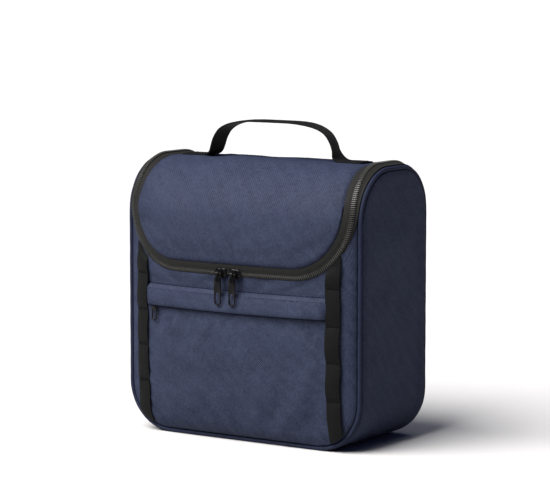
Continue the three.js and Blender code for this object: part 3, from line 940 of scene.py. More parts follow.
def catmull(points: Sequence[Sequence[float]], steps: int) -> Array:
    """A smooth line through points.

    Args:
        points: the points that it passes through.
        steps: how many steps it takes from each to the next.

    Returns:
        The line's points.
    """
    p = np.array(points, float)
    p = np.concatenate([[2 * p[0] - p[1]], p, [2 * p[-1] - p[-2]]])
    line = []
    for k in range(1, len(p) - 2):
        for t in np.arange(steps) / steps:
            a, b, c, d = p[k - 1], p[k], p[k + 1], p[k + 2]
            line.append(
                0.5 * (
                    2 * b + (c - a) * t + (2 * a - 5 * b + 4 * c - d) * t**2 + (
                        3 * b - a - 3 * c + d
                    ) * t**3
                )
            )
    return np.array([*line, p[-2]])


def make_piece(
    name: str,
    surface: Surface,
    finish: Finish,
    body: str | None,
    stands_for: Sequence[str] = (),
    sharp: float = 50.0,
) -> bpy.types.Object:
    """Make one piece of the bag.

    Args:
        name: the piece's name.
        surface: its mesh, in millimetres.
        finish: its finish.
        body: the body it moves with, or None to leave it on no body.
        stands_for: the plain solids it replaces.
        sharp: edges that turn more than this, in degrees, stay sharp.

    Returns:
        The new object.
    """
    mesh = bpy.data.meshes.new(name)
    mesh.from_pydata((surface.points * MM).tolist(), [], surface.faces)
    mesh.materials.append(finish.material())
    corners = np.empty(len(mesh.loops), np.int32)
    mesh.loops.foreach_get("vertex_index", corners)
    mesh.uv_layers.new(name="cloth").data.foreach_set(
        "uv", (surface.cloth[corners] * MM).astype(np.float32).ravel()
    )
    nearness = np.zeros(len(surface.points)) if surface.seam is None else surface.seam
    mesh.attributes.new("seam", "FLOAT", "POINT").data.foreach_set("value", nearness.astype(np.float32))
    mesh.shade_smooth()
    mesh.set_sharp_from_angle(angle=math.radians(sharp))
    mesh.validate()
    piece = bpy.data.objects.new(name, mesh)
    bpy.context.scene.collection.objects.link(piece)
    if stands_for:
        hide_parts(*stands_for)
    if body:
        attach(piece, body)
    log.info("%s: %d faces, on %s", name, len(mesh.polygons), body)
    return piece


def mirrored(half: Array) -> Array:
    """Places on both sides of the middle, from those on the right, which start at 0."""
    return np.concatenate([-half[:0:-1], half])


def corner_columns(flat: float, edge: float, pitch: float = 2.6, turns: int = 15) -> Array:
    """Columns of a panel, even over its flat stretch and closer towards its rounded corners.

    Args:
        flat: half-width of the flat stretch.
        edge: half-width of the panel.
        pitch: from one column to the next where they are even.
        turns: how many columns each corner has.

    Returns:
        x of the columns.
    """
    even = np.linspace(0, flat, int(flat / pitch))
    angle = np.linspace(0, math.pi / 2, turns + 1)[1:]
    return mirrored(np.concatenate([even, flat + (edge - flat) * np.sin(angle)]))


@dataclass(frozen=True)
class ClothRun:
    """A cloth simulation of one panel, held at its seams, cut slack and pushed out by its filling."""

    pressure: float = 2.5
    slack: float = 0.012  # how much larger the cloth is cut than its place
    frames: int = 20
    inward: float = 0.8  # the furthest that a point may sink
    outward: float = 2.2  # the furthest that a point may rise
    bending: float = 0.08

    def heights(self, points: Array, held: Array) -> Array:
        """Run the cloth and measure how far it moves out of its place.

        Args:
            points: grid of points, columns to the right and rows upwards seen from outside.
            held: how firmly each point is held, from 0 to 1.

        Returns:
            The grid of heights.
        """
        columns, rows = points.shape[:2]
        scene = bpy.context.scene
        mesh = bpy.data.meshes.new("cloth_run")
        mesh.from_pydata((points.reshape(-1, 3) * MM).tolist(), [], grid_faces(columns, rows))
        cloth = bpy.data.objects.new("cloth_run", mesh)
        scene.collection.objects.link(cloth)
        group = cloth.vertex_groups.new(name="held")
        for number, share in enumerate(held.ravel()):
            group.add([number], float(share), "REPLACE")
        settings = cloth.modifiers.new("cloth", "CLOTH").settings
        settings.quality = 6
        settings.mass = 0.15
        settings.vertex_group_mass = "held"
        settings.tension_stiffness = settings.compression_stiffness = 12
        settings.bending_stiffness = self.bending
        settings.use_pressure = True
        settings.uniform_pressure_force = self.pressure
        settings.shrink_min = -self.slack
        settings.effector_weights.gravity = 0
        for number in range(1, self.frames + 1):
            scene.frame_set(number)
        settled = cloth.evaluated_get(bpy.context.evaluated_depsgraph_get()).to_mesh()
        moved = np.empty(len(settled.vertices) * 3, np.float32)
        settled.vertices.foreach_get("co", moved)
        bpy.data.objects.remove(cloth)
        scene.frame_set(1)
        right, up = np.gradient(points, axis=0), np.gradient(points, axis=1)
        shift = moved.reshape(points.shape) / MM - points
        height = (shift * unit(np.cross(right, up))).sum(axis=-1)
        height = np.where(height > 0, self.outward * np.tanh(height / self.outward), height)
        height = np.where(height < 0, self.inward * np.tanh(height / self.inward), height)
        log.info("cloth run: %.2f mm in to %.2f mm out", -height.min(), height.max())
        return height


# --------------------------------------------------------------------------------------------------
# Shell.


@dataclass
class Shell:
    """Front and back panels, the gusset round them, the piped seam and the lining."""

    body: str = "bag"
    padding: float = 3.3
    lining: tuple[float, float] = (-3.6, -4.0)
    piping: float = 1.95
    rows: int = 76
    waves: tuple[tuple[float, float], ...] = ((46.0, 0.55), (19.0, 0.16))
    cloth: ClothRun = ClothRun()
    seam_dip: float = 1.1  # how deep the fabric is drawn down beside the piping
    hinge_dip: float = 1.3  # and beside the lid's hinge seam
    gusset_rows: int = 40
    gusset_inset: float = 3.3  # from the bag's front to the gusset's edge, which laps on the piping

    def panel(self, name: str, s_low: Array, s_high: Array, x: Array, seed: int, flip: bool = False) -> None:
        """Build a padded panel and its lining.

        Args:
            name: front or back.
            s_low: s of the panel's lower row, for each column.
            s_high: s of its upper row.
            x: x of the columns.
            seed: which crinkles.
            flip: whether s falls towards the ground, as on the back.
        """
        t = np.linspace(0, 1, self.rows)
        t = 0.7 * t + 0.3 * (0.5 - 0.5 * np.cos(math.pi * t))
        s = s_low[:, None] + (s_high - s_low)[:, None] * t[None, :]
        across = np.broadcast_to(x[:, None], s.shape)
        z = SHAPE.girth - s if flip else s
        side = SHAPE.half_width(np.clip(z, 0, SHAPE.corner)) - np.abs(across)
        floor = z - SHAPE.bottom_edge(across)
        inward = np.maximum(0, np.minimum(side, floor))
        soft = crinkles(across, s, seed, self.waves)
        below_hinge = s - SHAPE.hinge_s if flip else np.full_like(s, 99.0)
        free = smooth(below_hinge, 1, 16)
        height = soft * smooth(inward, 0, 30) * free - self.hinge_dip * np.exp(-below_hinge / 3.5)
        height = height - self.seam_dip * np.exp(-inward / 3.0) + pucker(across + s, inward, seed + 2) * free
        if name == "front":
            # The panel lies flat behind the pocket's face.
            pocket = smooth(-np.abs(across), -95, -90) * smooth(-s, -133, -130)
            height = height * (1 - pocket) - 0.5 * pocket
        # On the front, only the cloth above the flap is free to swell.
        held = 1 - smooth(inward, 2, 9) * (free if flip else smooth(s, 131, 137))
        height = height + self.cloth.heights(SHAPE.point(across, s, height), held)
        seam = np.exp(-inward / 4.0)
        sheet = saddle_sheet(across, s, height, np.full_like(height, -self.padding), 0.2, seam)
        padded = make_piece(
            f"{name}_padded_panel", sheet, Finish.NAVY, self.body, [f"{name}_panel", f"{name}_foam"]
        )
        few = slice(None, None, 2)
        inner = Crinkle(seed + 3, 40, 0.25).at(across, s)[few, few] * smooth(inward, 0, 20)[few, few]
        lining = saddle_sheet(
            across[few, few],
            s[few, few],
            np.full_like(inner, self.lining[0]),
            self.lining[1] - np.abs(inner),
            0.1,
        )
        sheet_piece = make_piece(
            f"{name}_lining_cloth", lining, Finish.LINING, self.body, [f"{name}_lining"]
        )

    def gusset_top(self, y: Array) -> Array:
        """Height of the side panels' upper edge, which follows the bag's profile inside the seam.

        Args:
            y: places from front to back.

        Returns:
            The heights there.
        """
        top = np.full_like(y, SHAPE.height - SHAPE.seam_inset)
        for hand, radius in ((-1, SHAPE.top_front), (1, SHAPE.top_rear)):
            past = hand * y - (SHAPE.depth / 2 - radius)
            rise = np.sqrt(np.maximum(0, (radius - SHAPE.seam_inset) ** 2 - past**2))
            top = np.where(past > 0, SHAPE.height - radius + rise, top)
        return top

    def gusset(self) -> None:
        """Build the strip of fabric that runs up one side, under the bag and up the other, and its lining."""
        half_y = SHAPE.depth / 2 - self.gusset_inset
        even = np.linspace(-half_y, half_y, self.gusset_rows)
        y = -half_y * np.cos(np.linspace(0, math.pi, self.gusset_rows)) * 0.25 + even * 0.75
        base = np.linspace(0, SHAPE.corner_x, 30)[:-1]
        angles = np.linspace(0, math.pi / 2, 22)
        wall = np.linspace(0, 1, 74)[1:]
        rise = (self.gusset_top(y) - SHAPE.corner)[:, None] * wall
        wall_start = SHAPE.corner_x + SHAPE.corner * math.pi / 2

        def join(flat: Array, turn: Array, side: Array) -> Array:
            """Join one value for each point, from the middle of the base to the top of the right-hand side.

            Args:
                flat: the values along the base.
                turn: those round the bottom corner.
                side: those up the side.

            Returns:
                The grid of values.
            """
            return np.concatenate(
                [np.broadcast_to(a, (len(y), a.shape[-1])) for a in (flat, turn, side)], axis=1
            )

        def points(depth: float) -> Array:
            """Points of the right-hand half, with columns from front to back.

            Args:
                depth: how far inside the bag's outline they lie.

            Returns:
                The grid of points.
            """
            radius = SHAPE.corner - depth
            x = join(
                base, SHAPE.corner_x + radius * np.sin(angles), np.full_like(wall, SHAPE.corner_x + radius)
            )
            z = join(np.full_like(base, depth), SHAPE.corner - radius * np.cos(angles), SHAPE.corner + rise)
            return np.stack(np.broadcast_arrays(x, y[:, None], z), axis=-1)

        run = join(base, SHAPE.corner_x + SHAPE.corner * angles, wall_start + rise)
        across = np.broadcast_to(y[:, None], run.shape)
        inward = np.maximum(0, np.minimum(half_y - np.abs(across), run[:, -1:] - run))

        def relief(seed: int) -> Array:
            """Height of the fabric over its flat place: the seam allowance's ridge, soft waves and gathers.

            Args:
                seed: which waves and gathers.

            Returns:
                The grid of heights.
            """
            allowance = 0.35 * smooth(-inward, -12, -8.0)
            waves = Crinkle(seed, 70, 0.5, heading=80).at(across, run) + Crinkle(seed + 1, 30, 0.12).at(
                across, run
            )
            on_wall = smooth(run, SHAPE.corner_x + 10, wall_start + 20)
            sunk = -0.35 * np.exp(-inward / 1.5)
            lifted = allowance + pucker(run, inward, seed + 2, 8.0, 0.2) + sunk + waves * smooth(
                inward, 4, 30
            )
            return lifted * on_wall - 0.05 * (1 - on_wall)

        def skin(depth: float, seeds: tuple[int, int] | None = None) -> Array:
            """Points of both halves.

            Args:
                depth: how far inside the bag's outline they lie.
                seeds: which relief the left and right halves have. Without it they are plain.

            Returns:
                The grid of points, with rows from the left-hand top round to the right-hand top.
            """
            plain = points(depth)
            left, right = (
                plain + (points(depth - 1.0) - plain) * relief(seed)[..., None] for seed in seeds
            ) if seeds else (plain, plain)
            return np.concatenate([(left * np.array([-1, 1, 1]))[:, :0:-1], right], axis=1)

        flat = np.concatenate([-run[:, :0:-1], run], axis=1)
        width = np.broadcast_to(across[:, :1], flat.shape)
        near = np.exp(-inward / 4.0)
        seam = np.concatenate([near[:, :0:-1], near], axis=1)
        for name, outer, inner, finish, nodes in (
            (
                "gusset",
                skin(0.0, (47, 40)),
                skin(2.6),
                Finish.NAVY,
                ("panel_left", "panel_right", "base_panel"),
            ),
            (
                "gusset_lining",
                skin(3.7),
                skin(4.0),
                Finish.LINING,
                ("lining_left", "lining_right", "base_lining"),
            ),
        ):
            sheet = closed_sheet(outer, inner, np.stack([width, flat], axis=-1), 0.2, seam)
            stands_for = [f"side_{nodes[0]}", f"side_{nodes[1]}", nodes[2]]
            make_piece(name, sheet, finish, self.body, stands_for)
        # The base board lies hidden under the lining.
        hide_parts("base_board")

    def seam_path(self, inset: float) -> tuple[Array, Array]:
        """The closed line of the seam: bottom front, right-hand arch, bottom back, left-hand arch.

        Args:
            inset: how far inside the bag's outline it runs.

        Returns:
            Its points, and the outward directions there.
        """
        radius = SHAPE.corner - inset
        turn = np.linspace(0, math.pi / 2, 15)
        across = np.linspace(-SHAPE.corner_x, SHAPE.corner_x, 52)[1:-1]
        s = np.arange(SHAPE.corner + 3, SHAPE.girth - SHAPE.corner - 2, 3.0)
        y, z, ny, nz = SHAPE.profile(s)

        def stretch(*columns: Array | float) -> Array:
            """Rows of a point and its outward direction, six numbers each."""
            return np.stack(np.broadcast_arrays(*columns), axis=1)

        front_y = inset - SHAPE.depth / 2
        corner = stretch(
            SHAPE.corner_x + radius * np.sin(turn),
            front_y,
            SHAPE.corner - radius * np.cos(turn),
            np.sin(turn),
            -1.0,
            -np.cos(turn),
        )
        flat = stretch(across, front_y, inset, 0.0, -1.0, -1.0)
        arch = stretch(SHAPE.width / 2 - inset, y - ny * inset, z - nz * inset, 1.0, ny, nz)
        mirror, half_turn = np.array([-1, 1, 1, -1, 1, 1]), np.array([-1, -1, 1, -1, -1, 1])
        bottom = np.concatenate([corner[::-1] * mirror, flat, corner])
        path = np.concatenate([bottom, arch, bottom * half_turn, arch[::-1] * mirror])
        return path[:, :3], unit(path[:, 3:])

    def piping_cord(self) -> None:
        """Build the fabric-covered cord in the seam."""
        line, out = self.seam_path(2.05)
        along = unit(np.roll(line, -1, axis=0) - np.roll(line, 1, axis=0))
        first = unit(out - along * (out * along).sum(axis=1, keepdims=True))
        second = np.cross(first, along)
        steps = np.linalg.norm(np.roll(line, -1, axis=0) - line, axis=1)
        run = np.concatenate([[0], np.cumsum(steps)[:-1]])
        angles = np.linspace(0, 2 * math.pi, 13)[:-1]
        wobble = 1 + 0.025 * np.sin(run / 2.9) + 0.02 * np.sin(run / 7.3 + 1)
        rings = line[:, None] + self.piping * wobble[:, None, None] * (
            first[:, None] * np.cos(angles)[None, :, None] + second[:, None] * np.sin(angles)[None, :, None]
        )
        rings[..., 2] = np.maximum(rings[..., 2], 0.0)
        surface = loops(list(rings[:, ::-1]), True)
        make_piece("seam_piping_cord", surface, Finish.PIPING, self.body, ["seam_piping"])

    def build(self) -> None:
        """Build every piece of the shell."""
        x = corner_columns(SHAPE.corner_x, SHAPE.panel_half)
        top = np.minimum(SHAPE.mouth_edge(x), SHAPE.lid_side_s) - 0.3
        self.panel("front", SHAPE.bottom_edge(x), top, x, 11)
        self.panel(
            "back", np.full_like(x, SHAPE.hinge_s + 0.3), SHAPE.girth - SHAPE.bottom_edge(x), x, 21, True
        )
        self.gusset()
        self.piping_cord()


# --------------------------------------------------------------------------------------------------
# Lid and main zip.


@dataclass
class ZipTrack:
    """The path of the lid's zip, in lines that run a set distance outside the lid's edge."""

    step: float = 1.6

    def line(self, offset: float, end: float) -> tuple[Array, Array]:
        """A line outside the lid's edge, from the left of the hinge round the front to the right.

        Args:
            offset: its distance from the lid's edge.
            end: how far short of the hinge it stops.

        Returns:
            x and s of its points.
        """
        flat = np.linspace(0, SHAPE.lid_flat, int(SHAPE.lid_flat / self.step))
        angle = np.linspace(0, math.pi / 2, int(76 / self.step))[1:]
        s_side = np.linspace(SHAPE.lid_side_s, SHAPE.hinge_s - end, int(96 / self.step))[1:]
        x = np.concatenate(
            [
                flat,
                SHAPE.lid_flat + (SHAPE.lid_side - SHAPE.lid_flat + offset) * np.sin(angle),
                SHAPE.lid_half(s_side) + offset,
            ]
        )
        s = np.concatenate(
            [
                np.full_like(flat, SHAPE.lid_bottom - offset),
                SHAPE.lid_side_s - (SHAPE.lid_side_s - SHAPE.lid_bottom + offset) * np.cos(angle),
                s_side,
            ]
        )
        x = np.minimum(x, SHAPE.tape_edge)
        return mirrored(x), np.concatenate([s[:0:-1], s])

    def mouth(self, end: float) -> tuple[Array, Array]:
        """The outer edge of the body's tape, point for point with line().

        Args:
            end: how far short of the hinge it stops.

        Returns:
            x and s of its points.
        """
        x, s = self.line(0.0, end)
        share = np.clip((np.abs(x) - SHAPE.lid_flat) / (SHAPE.lid_side - SHAPE.lid_flat), 0, 1)
        on_side = s >= SHAPE.lid_side_s
        share = np.where(on_side, 1.0, share)
        across = np.minimum(np.abs(x), SHAPE.lid_flat) + (SHAPE.tape_edge - SHAPE.lid_flat) * share
        drop = (SHAPE.lid_side_s - SHAPE.mouth_bottom) * np.sqrt(1 - share**2)
        return np.sign(x) * across, np.where(on_side, s, SHAPE.lid_side_s - drop)


@dataclass
class Lid:
    """The padded lid and its lining."""

    body: str = "lid"
    padding: float = 3.3
    rows: int = 62
    cloth: ClothRun = ClothRun(pressure=3.0, slack=0.014, outward=2.6)
    waves: tuple[tuple[float, float], ...] = ((52.0, 0.5), (21.0, 0.15))
    foot_start: tuple[float, float] = (58.0, 68.0)  # x over which the handle's feet begin to hold it down
    lining_depth: tuple[float, float] = (3.6, 4.0)
    flat_top: float = 0.75  # share of the cloth's rise that the handle holds down
    roll: float = 3.4  # how far in from its edge the fabric rolls over

    def grids(self) -> tuple[Array, Array, Array]:
        """Lay out the lid's points.

        Returns:
            x and s of the points, and their distances from the lid's edge.
        """
        base = corner_columns(SHAPE.lid_flat, SHAPE.lid_side, 2.6, 17)
        low, high = SHAPE.lid_edge(base), SHAPE.hinge_s - 0.3
        t = np.linspace(0, 1, self.rows)
        t = 0.75 * t + 0.25 * (1 - np.cos(math.pi * t)) / 2
        s = low[:, None] + (high - low)[:, None] * t[None, :]
        x = base[:, None] * (SHAPE.lid_half(s) / SHAPE.lid_side)
        below = s - SHAPE.lid_edge(np.clip(x, -SHAPE.lid_side, SHAPE.lid_side))
        side = SHAPE.lid_half(s) - np.abs(x)
        return x, s, np.maximum(0, np.where(s < SHAPE.lid_side_s, np.minimum(below, side + 3), side))

    def build(self) -> None:
        """Build the lid's pieces."""
        x, s, inward = self.grids()
        lift = SHAPE.lid_height(s)
        waves = crinkles(x, s, 61, self.waves)
        hinge = smooth(SHAPE.hinge_s - s, 0, 10)
        crest = SHAPE.crest_start
        under_foot = smooth(np.abs(x), *self.foot_start) * smooth(s, crest - 14, crest - 4)
        soft = hinge * (1 - under_foot)
        outer = lift + waves * smooth(inward, 2, 28) * soft + pucker(s + x, inward, 63, 10, 0.25) * soft
        outer = outer - 1.3 * (1 - np.clip(inward / self.roll, 0, 1)) ** 2 * hinge
        outer = outer - 1.1 * np.exp(-(SHAPE.hinge_s - s) / 3.0)
        risen = self.cloth.heights(SHAPE.point(x, s, outer), 1 - smooth(inward, 3, 10) * soft)
        over_top = smooth(s, SHAPE.crest_start - 35, SHAPE.crest_start)
        outer = outer + risen * (1 - self.flat_top * over_top)
        inner = lift - self.padding
        seam = np.exp(-inward / 4.0)
        panel = make_piece(
            "lid_padded_panel",
            saddle_sheet(x, s, outer, inner, 0.35, seam),
            Finish.NAVY,
            self.body,
            ["lid_panel", "lid_foam"],
        )
        upper, lower = (lift - depth for depth in self.lining_depth)
        cloth = make_piece(
            "lid_lining_cloth",
            saddle_sheet(*(grid[::2, ::2] for grid in (x, s, upper, lower)), 0.1),
            Finish.LINING,
            self.body,
            ["lid_lining"],
        )


@dataclass
class MainZip:
    """The lid's zip: two halves of tape, two rows of coil, and the pieces that end it."""

    track: ZipTrack = field(default_factory=ZipTrack)
    tape_end: float = 0.8
    body_tape_end: float = -5.0  # it runs on past the hinge, under the end covers
    tape_thickness: float = 0.7
    tape_lip: float = 2.4
    # The lid's tape, from its inner side: distance outside the lid's edge, and share of the lid's height.
    lid_tape: tuple[tuple[float, float], ...] = (
        (-1.2, 0.62),
        (0.35, 0.72),
        (1.6, 0.72),
        (3.4, 0.66),
        (5.0, 0.52),
        (6.3, 0.4),
        (7.5, 0.26),
    )
    hinge_cord: float = 1.25  # radius of the rolled seam that the lid turns on
    binding_height: float = -4.9  # inside the padding
    binding_thickness: float = 0.6
    crown_height: float = 1.7
    coil_height: float = 1.5
    coil_end: float = 6.0
    tooth_pitch: float = 1.8  # the real pitch is 1.3, drawn coarser so that the teeth show
    tooth_width: float = 0.85
    tooth_height: float = 1.3

    def crown(self, s: Array) -> Array:
        """How much higher the zip stands where it bends over the top."""
        rise = smooth(s, SHAPE.lid_side_s, SHAPE.crest_start)
        return self.crown_height * rise * (1 - smooth(s, SHAPE.rear_arc, SHAPE.hinge_s - 8))

    def strip(self, rows: Sequence[tuple[Array, Array, Array]], lip: float = 0.0) -> Surface:
        """A tape.

        Args:
            rows: lines of x, s and height, from the inner side outwards.
            lip: how far its outer edge is turned down into the seam.

        Returns:
            The tape's surface.
        """
        ordered = list(rows)[::-1]
        x, s, h = (np.stack([row[k] for row in ordered], axis=1) for k in range(3))
        depth = np.full(len(ordered), self.tape_thickness)
        depth[0] += lip
        top, bottom = SHAPE.point(x, s, h), SHAPE.point(x, s, h - depth)
        run = distances(top[:, -1])
        offsets = np.concatenate([[0], np.cumsum(np.linalg.norm(np.diff(top, axis=1), axis=2).mean(axis=0))])
        cloth = np.stack(np.broadcast_arrays(offsets[None, :], run[:, None]), axis=-1)
        return closed_sheet(top, bottom, cloth, 0.1)

    def tapes(self) -> None:
        """Build the lid's half and the body's half of the tape."""
        lid_rows = []
        for offset, share in self.lid_tape:
            x, s = self.track.line(offset, self.tape_end)
            height = 0.35 + (SHAPE.lid_height(s) - SHAPE.lid_lift_crest) * share
            height = height + self.crown(s) * min(1.0, (offset + 1.2) / 4.6)
            lid_rows.append((x, s, np.maximum(height, 0.2)))
        make_piece(
            "lid_zip_tape", self.strip(lid_rows), Finish.TAPE, "lid", ["zip_tape_lid"]
        )
        body_rows = []
        near, far = self.track.line(8.1, self.body_tape_end), self.track.mouth(self.body_tape_end)
        for share in (0.0, 0.3, 0.6, 0.85, 1.0):
            x, s = (a + (b - a) * share for a, b in zip(near, far))
            on_side = smooth(s, SHAPE.lid_side_s - 40, SHAPE.lid_side_s)
            height = 0.35 + 0.6 * on_side + self.crown(s) * (1 - share)
            x = x + np.sign(x) * 1.4 * on_side * share
            body_rows.append((x, s, height))
        make_piece(
            "body_zip_tape", self.strip(body_rows, self.tape_lip), Finish.TAPE, "bag", ["zip_tape_body"]
        )

    def coils(self) -> None:
        """Build the two rows of the coil, whose turns mesh at the middle."""
        for name, root, tip, phase, body, node in (
            ("lid_zip_coil", 5.7, 8.3, 0.0, "lid", "zip_coil_lid"),
            ("body_zip_coil", 9.9, 7.3, 0.5, "bag", "zip_coil_body"),
        ):
            x, s = self.track.line((root + tip) / 2, self.coil_end)
            height = self.coil_height + self.crown(s)
            ends = [SHAPE.point(*self.track.line(offset, self.coil_end), height) for offset in (root, tip)]
            middle = SHAPE.point(x, s, height)
            places = resample(middle, self.tooth_pitch) + phase * self.tooth_pitch / self.track.step
            places = places[places < len(middle) - 1.5]
            up = pick(SHAPE.normal(x, s), places)
            teeth = bars(
                pick(ends[0], places), pick(ends[1], places), up, self.tooth_width, self.tooth_height, 0.7
            )
            make_piece(name, teeth, Finish.COIL, body, [node])

    def trim(self) -> None:
        """Build the binding and the rolled seam along the hinge, and the tabs over the zip's ends."""
        x = np.linspace(-SHAPE.lid_crest, SHAPE.lid_crest, 90)[:, None]
        s = SHAPE.hinge_s + np.linspace(0.5, 7.5, 5)[None, :]
        height = self.binding_height + 0.12 * np.sin(x / 3.1) + 0 * s
        binding = saddle_sheet(x, s, height, height - self.binding_thickness, 0.2)
        turn = np.linspace(0, 2 * math.pi, 13)[:-1]
        _, y, z = SHAPE.point(np.array(0.0), np.array(SHAPE.hinge_s))
        across = np.linspace(-SHAPE.lid_crest - 3, SHAPE.lid_crest + 3, 60)
        ring = np.stack(
            [0 * turn, y + self.hinge_cord * np.cos(turn), z + self.hinge_cord * np.sin(turn)], axis=-1
        )
        cord = loops([ring + np.array([place, 0.0, 0.0]) for place in across], False)
        make_piece("hinge_seam_binding", binding + cord, Finish.LINING, "bag", ["hinge_binding"])
        puff = 0.25 * np.sin(np.linspace(0, math.pi, 12))[:, None] * np.sin(
            np.linspace(0, math.pi, 8)
        )[None, :]
        for side in Side:
            label = side.name.lower()
            low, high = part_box(f"zip_end_tab_{label}")
            x = np.linspace(low.x / MM, high.x / MM, 12)[:, None]
            s = SHAPE.hinge_s + np.linspace(4.5, 11.5, 8)[None, :]
            tab = saddle_sheet(x, s, 0.8 + puff, np.full_like(puff, 0.3), 0.2)
            make_piece(f"zip_end_cover_{label}", tab, Finish.TAPE, "bag", [f"zip_end_tab_{label}"])

    def build(self) -> None:
        """Build the zip."""
        self.tapes()
        self.coils()
        self.trim()


# --------------------------------------------------------------------------------------------------
# Pocket.


@dataclass
class Pocket:
    """The front pocket: its face, its zip and the flap over the zip."""

    body: str = "bag"
    half: float = 97.0  # half-width of the face, whose side edges lie under the gear strips
    flap_half: float = 92.6
    zip_z: float = 117.0
    zip_gap: float = 4.6  # from the face's top edge to the middle of the zip
    hem: float = 0.6  # from the bottom seam to the face
    flap_top: float = 131.4
    flap_bottom: float = 114.0
    cloth: ClothRun = ClothRun(slack=0.016, inward=0.6)
    face_heights: tuple[float, float] = (1.7, 0.8)

    def face(self) -> None:
        """Build the pocket's face, from the bottom seam to its zip."""
        x = np.linspace(-self.half, self.half, 86)[:, None]
        low, top = SHAPE.bottom_edge(x) + self.hem, self.zip_z - self.zip_gap
        t = np.linspace(0, 1, 56)[None, :]
        z = low + (top - low) * t
        x = np.broadcast_to(x, z.shape)
        side = self.half - np.abs(x)
        floor = z - low
        inward = np.minimum(side, floor)
        tight = smooth(floor, 0, 9)
        soft = Crinkle(81, 44, 0.5).at(x, z) + Crinkle(82, 17, 0.14).at(x, z) + Crinkle(
            83, 60, 0.45, heading=35
        ).at(x, z)
        height = self.face_heights[0] - 1.2 * (1 - tight) + soft * smooth(inward, 2, 26)
        height = np.maximum(height + pucker(z + x, inward, 84, 11, 0.3), 0.15)
        firm = np.minimum(self.half - 5.5 - np.abs(x), np.minimum(floor, top - z))
        height = height + self.cloth.heights(SHAPE.point(x, z, height), 1 - smooth(firm, 0, 7))
        seam = np.exp(-floor / 5.0)
        piece = make_piece(
            "pocket_face_cloth",
            saddle_sheet(x, z, height, np.minimum(height - 0.7, self.face_heights[1]), 0.1, seam),
            Finish.NAVY,
            self.body,
            ["pocket_face"],
        )

    def flap(self) -> None:
        """Build the flap, which stands off the zip and is folded under along its lower edge."""
        x = np.linspace(-self.flap_half, self.flap_half, 96)[:, None]
        t = np.linspace(0, 1, 15)[None, :]
        z = self.flap_bottom + (self.flap_top - self.flap_bottom) * t + 0 * x
        x = x + 0 * t
        out = np.interp(t, [0, 0.1, 0.3, 0.6, 0.84, 0.93, 1], [5.9, 6.2, 6.0, 5.1, 3.9, 2.3, 1.0]) + 0 * x
        ends = smooth(self.flap_half - np.abs(x), 0, 3.5)
        out = 1.6 + (out - 1.6) * np.maximum(ends, t)
        out = out + 0.2 * np.sin(x / 13 + 1) * np.sin(math.pi * t) + Crinkle(91, 24, 0.12).at(x, z)
        inner = out - 0.9 * np.minimum(1, 0.4 + t)
        # The seam nearness here is highest along the flap's lower edge, so the navy is darkened there as
        # painted shade.
        piece = make_piece(
            "pocket_flap_cloth",
            saddle_sheet(x, z, out, inner, 0.35, np.exp(-(z - self.flap_bottom) / 1.5)),
            Finish.NAVY,
            self.body,
            ["pocket_flap"],
        )
        for name, level, height in (("upper", 128.3, 4.0), ("lower", 132.6, 0.35)):
            x_line = np.linspace(-self.flap_half + 3, self.flap_half - 3, 120)
            line = SHAPE.point(x_line, np.full_like(x_line, level), height + 0.12)
            row = stitches(line, SHAPE.normal(x_line, np.full_like(x_line, level)), 3.6, 2.3, 0.75)
            make_piece(f"flap_stitches_{name}", row, Finish.NAVY_THREAD, self.body)

    def zip(self) -> None:
        """Build the zip under the flap."""
        x_line = np.linspace(-91, 91, 92)
        for name, low, high in (("lower", -7.0, -0.15), ("upper", 0.15, 8.0)):
            x, z = np.meshgrid(x_line, self.zip_z + np.linspace(low, high, 4), indexing="ij")
            tape = saddle_sheet(x, z, np.full_like(x, 0.6), np.full_like(x, 0.15), 0.05)
            make_piece(
                f"pocket_zip_tape_{name}", tape, Finish.TAPE, self.body, [f"pocket_tape_{name}"]
            )
        for name, root, tip, phase in (("lower", -1.5, 0.3, 0.0), ("upper", 1.5, -0.3, 0.75)):
            x = np.arange(-89.5, 89.5, 1.5) + phase
            ends = [SHAPE.point(x, np.full_like(x, self.zip_z + z), 1.4) for z in (root, tip)]
            up = SHAPE.normal(x, np.full_like(x, self.zip_z))
            teeth = bars(ends[0], ends[1], up, 0.7, 0.7, 0.7)
            make_piece(
                f"pocket_zip_coil_{name}", teeth, Finish.COIL, self.body, [f"pocket_coil_{name}"]
            )

    def build(self) -> None:
        """Build the pocket."""
        self.face()
        self.flap()
        self.zip()


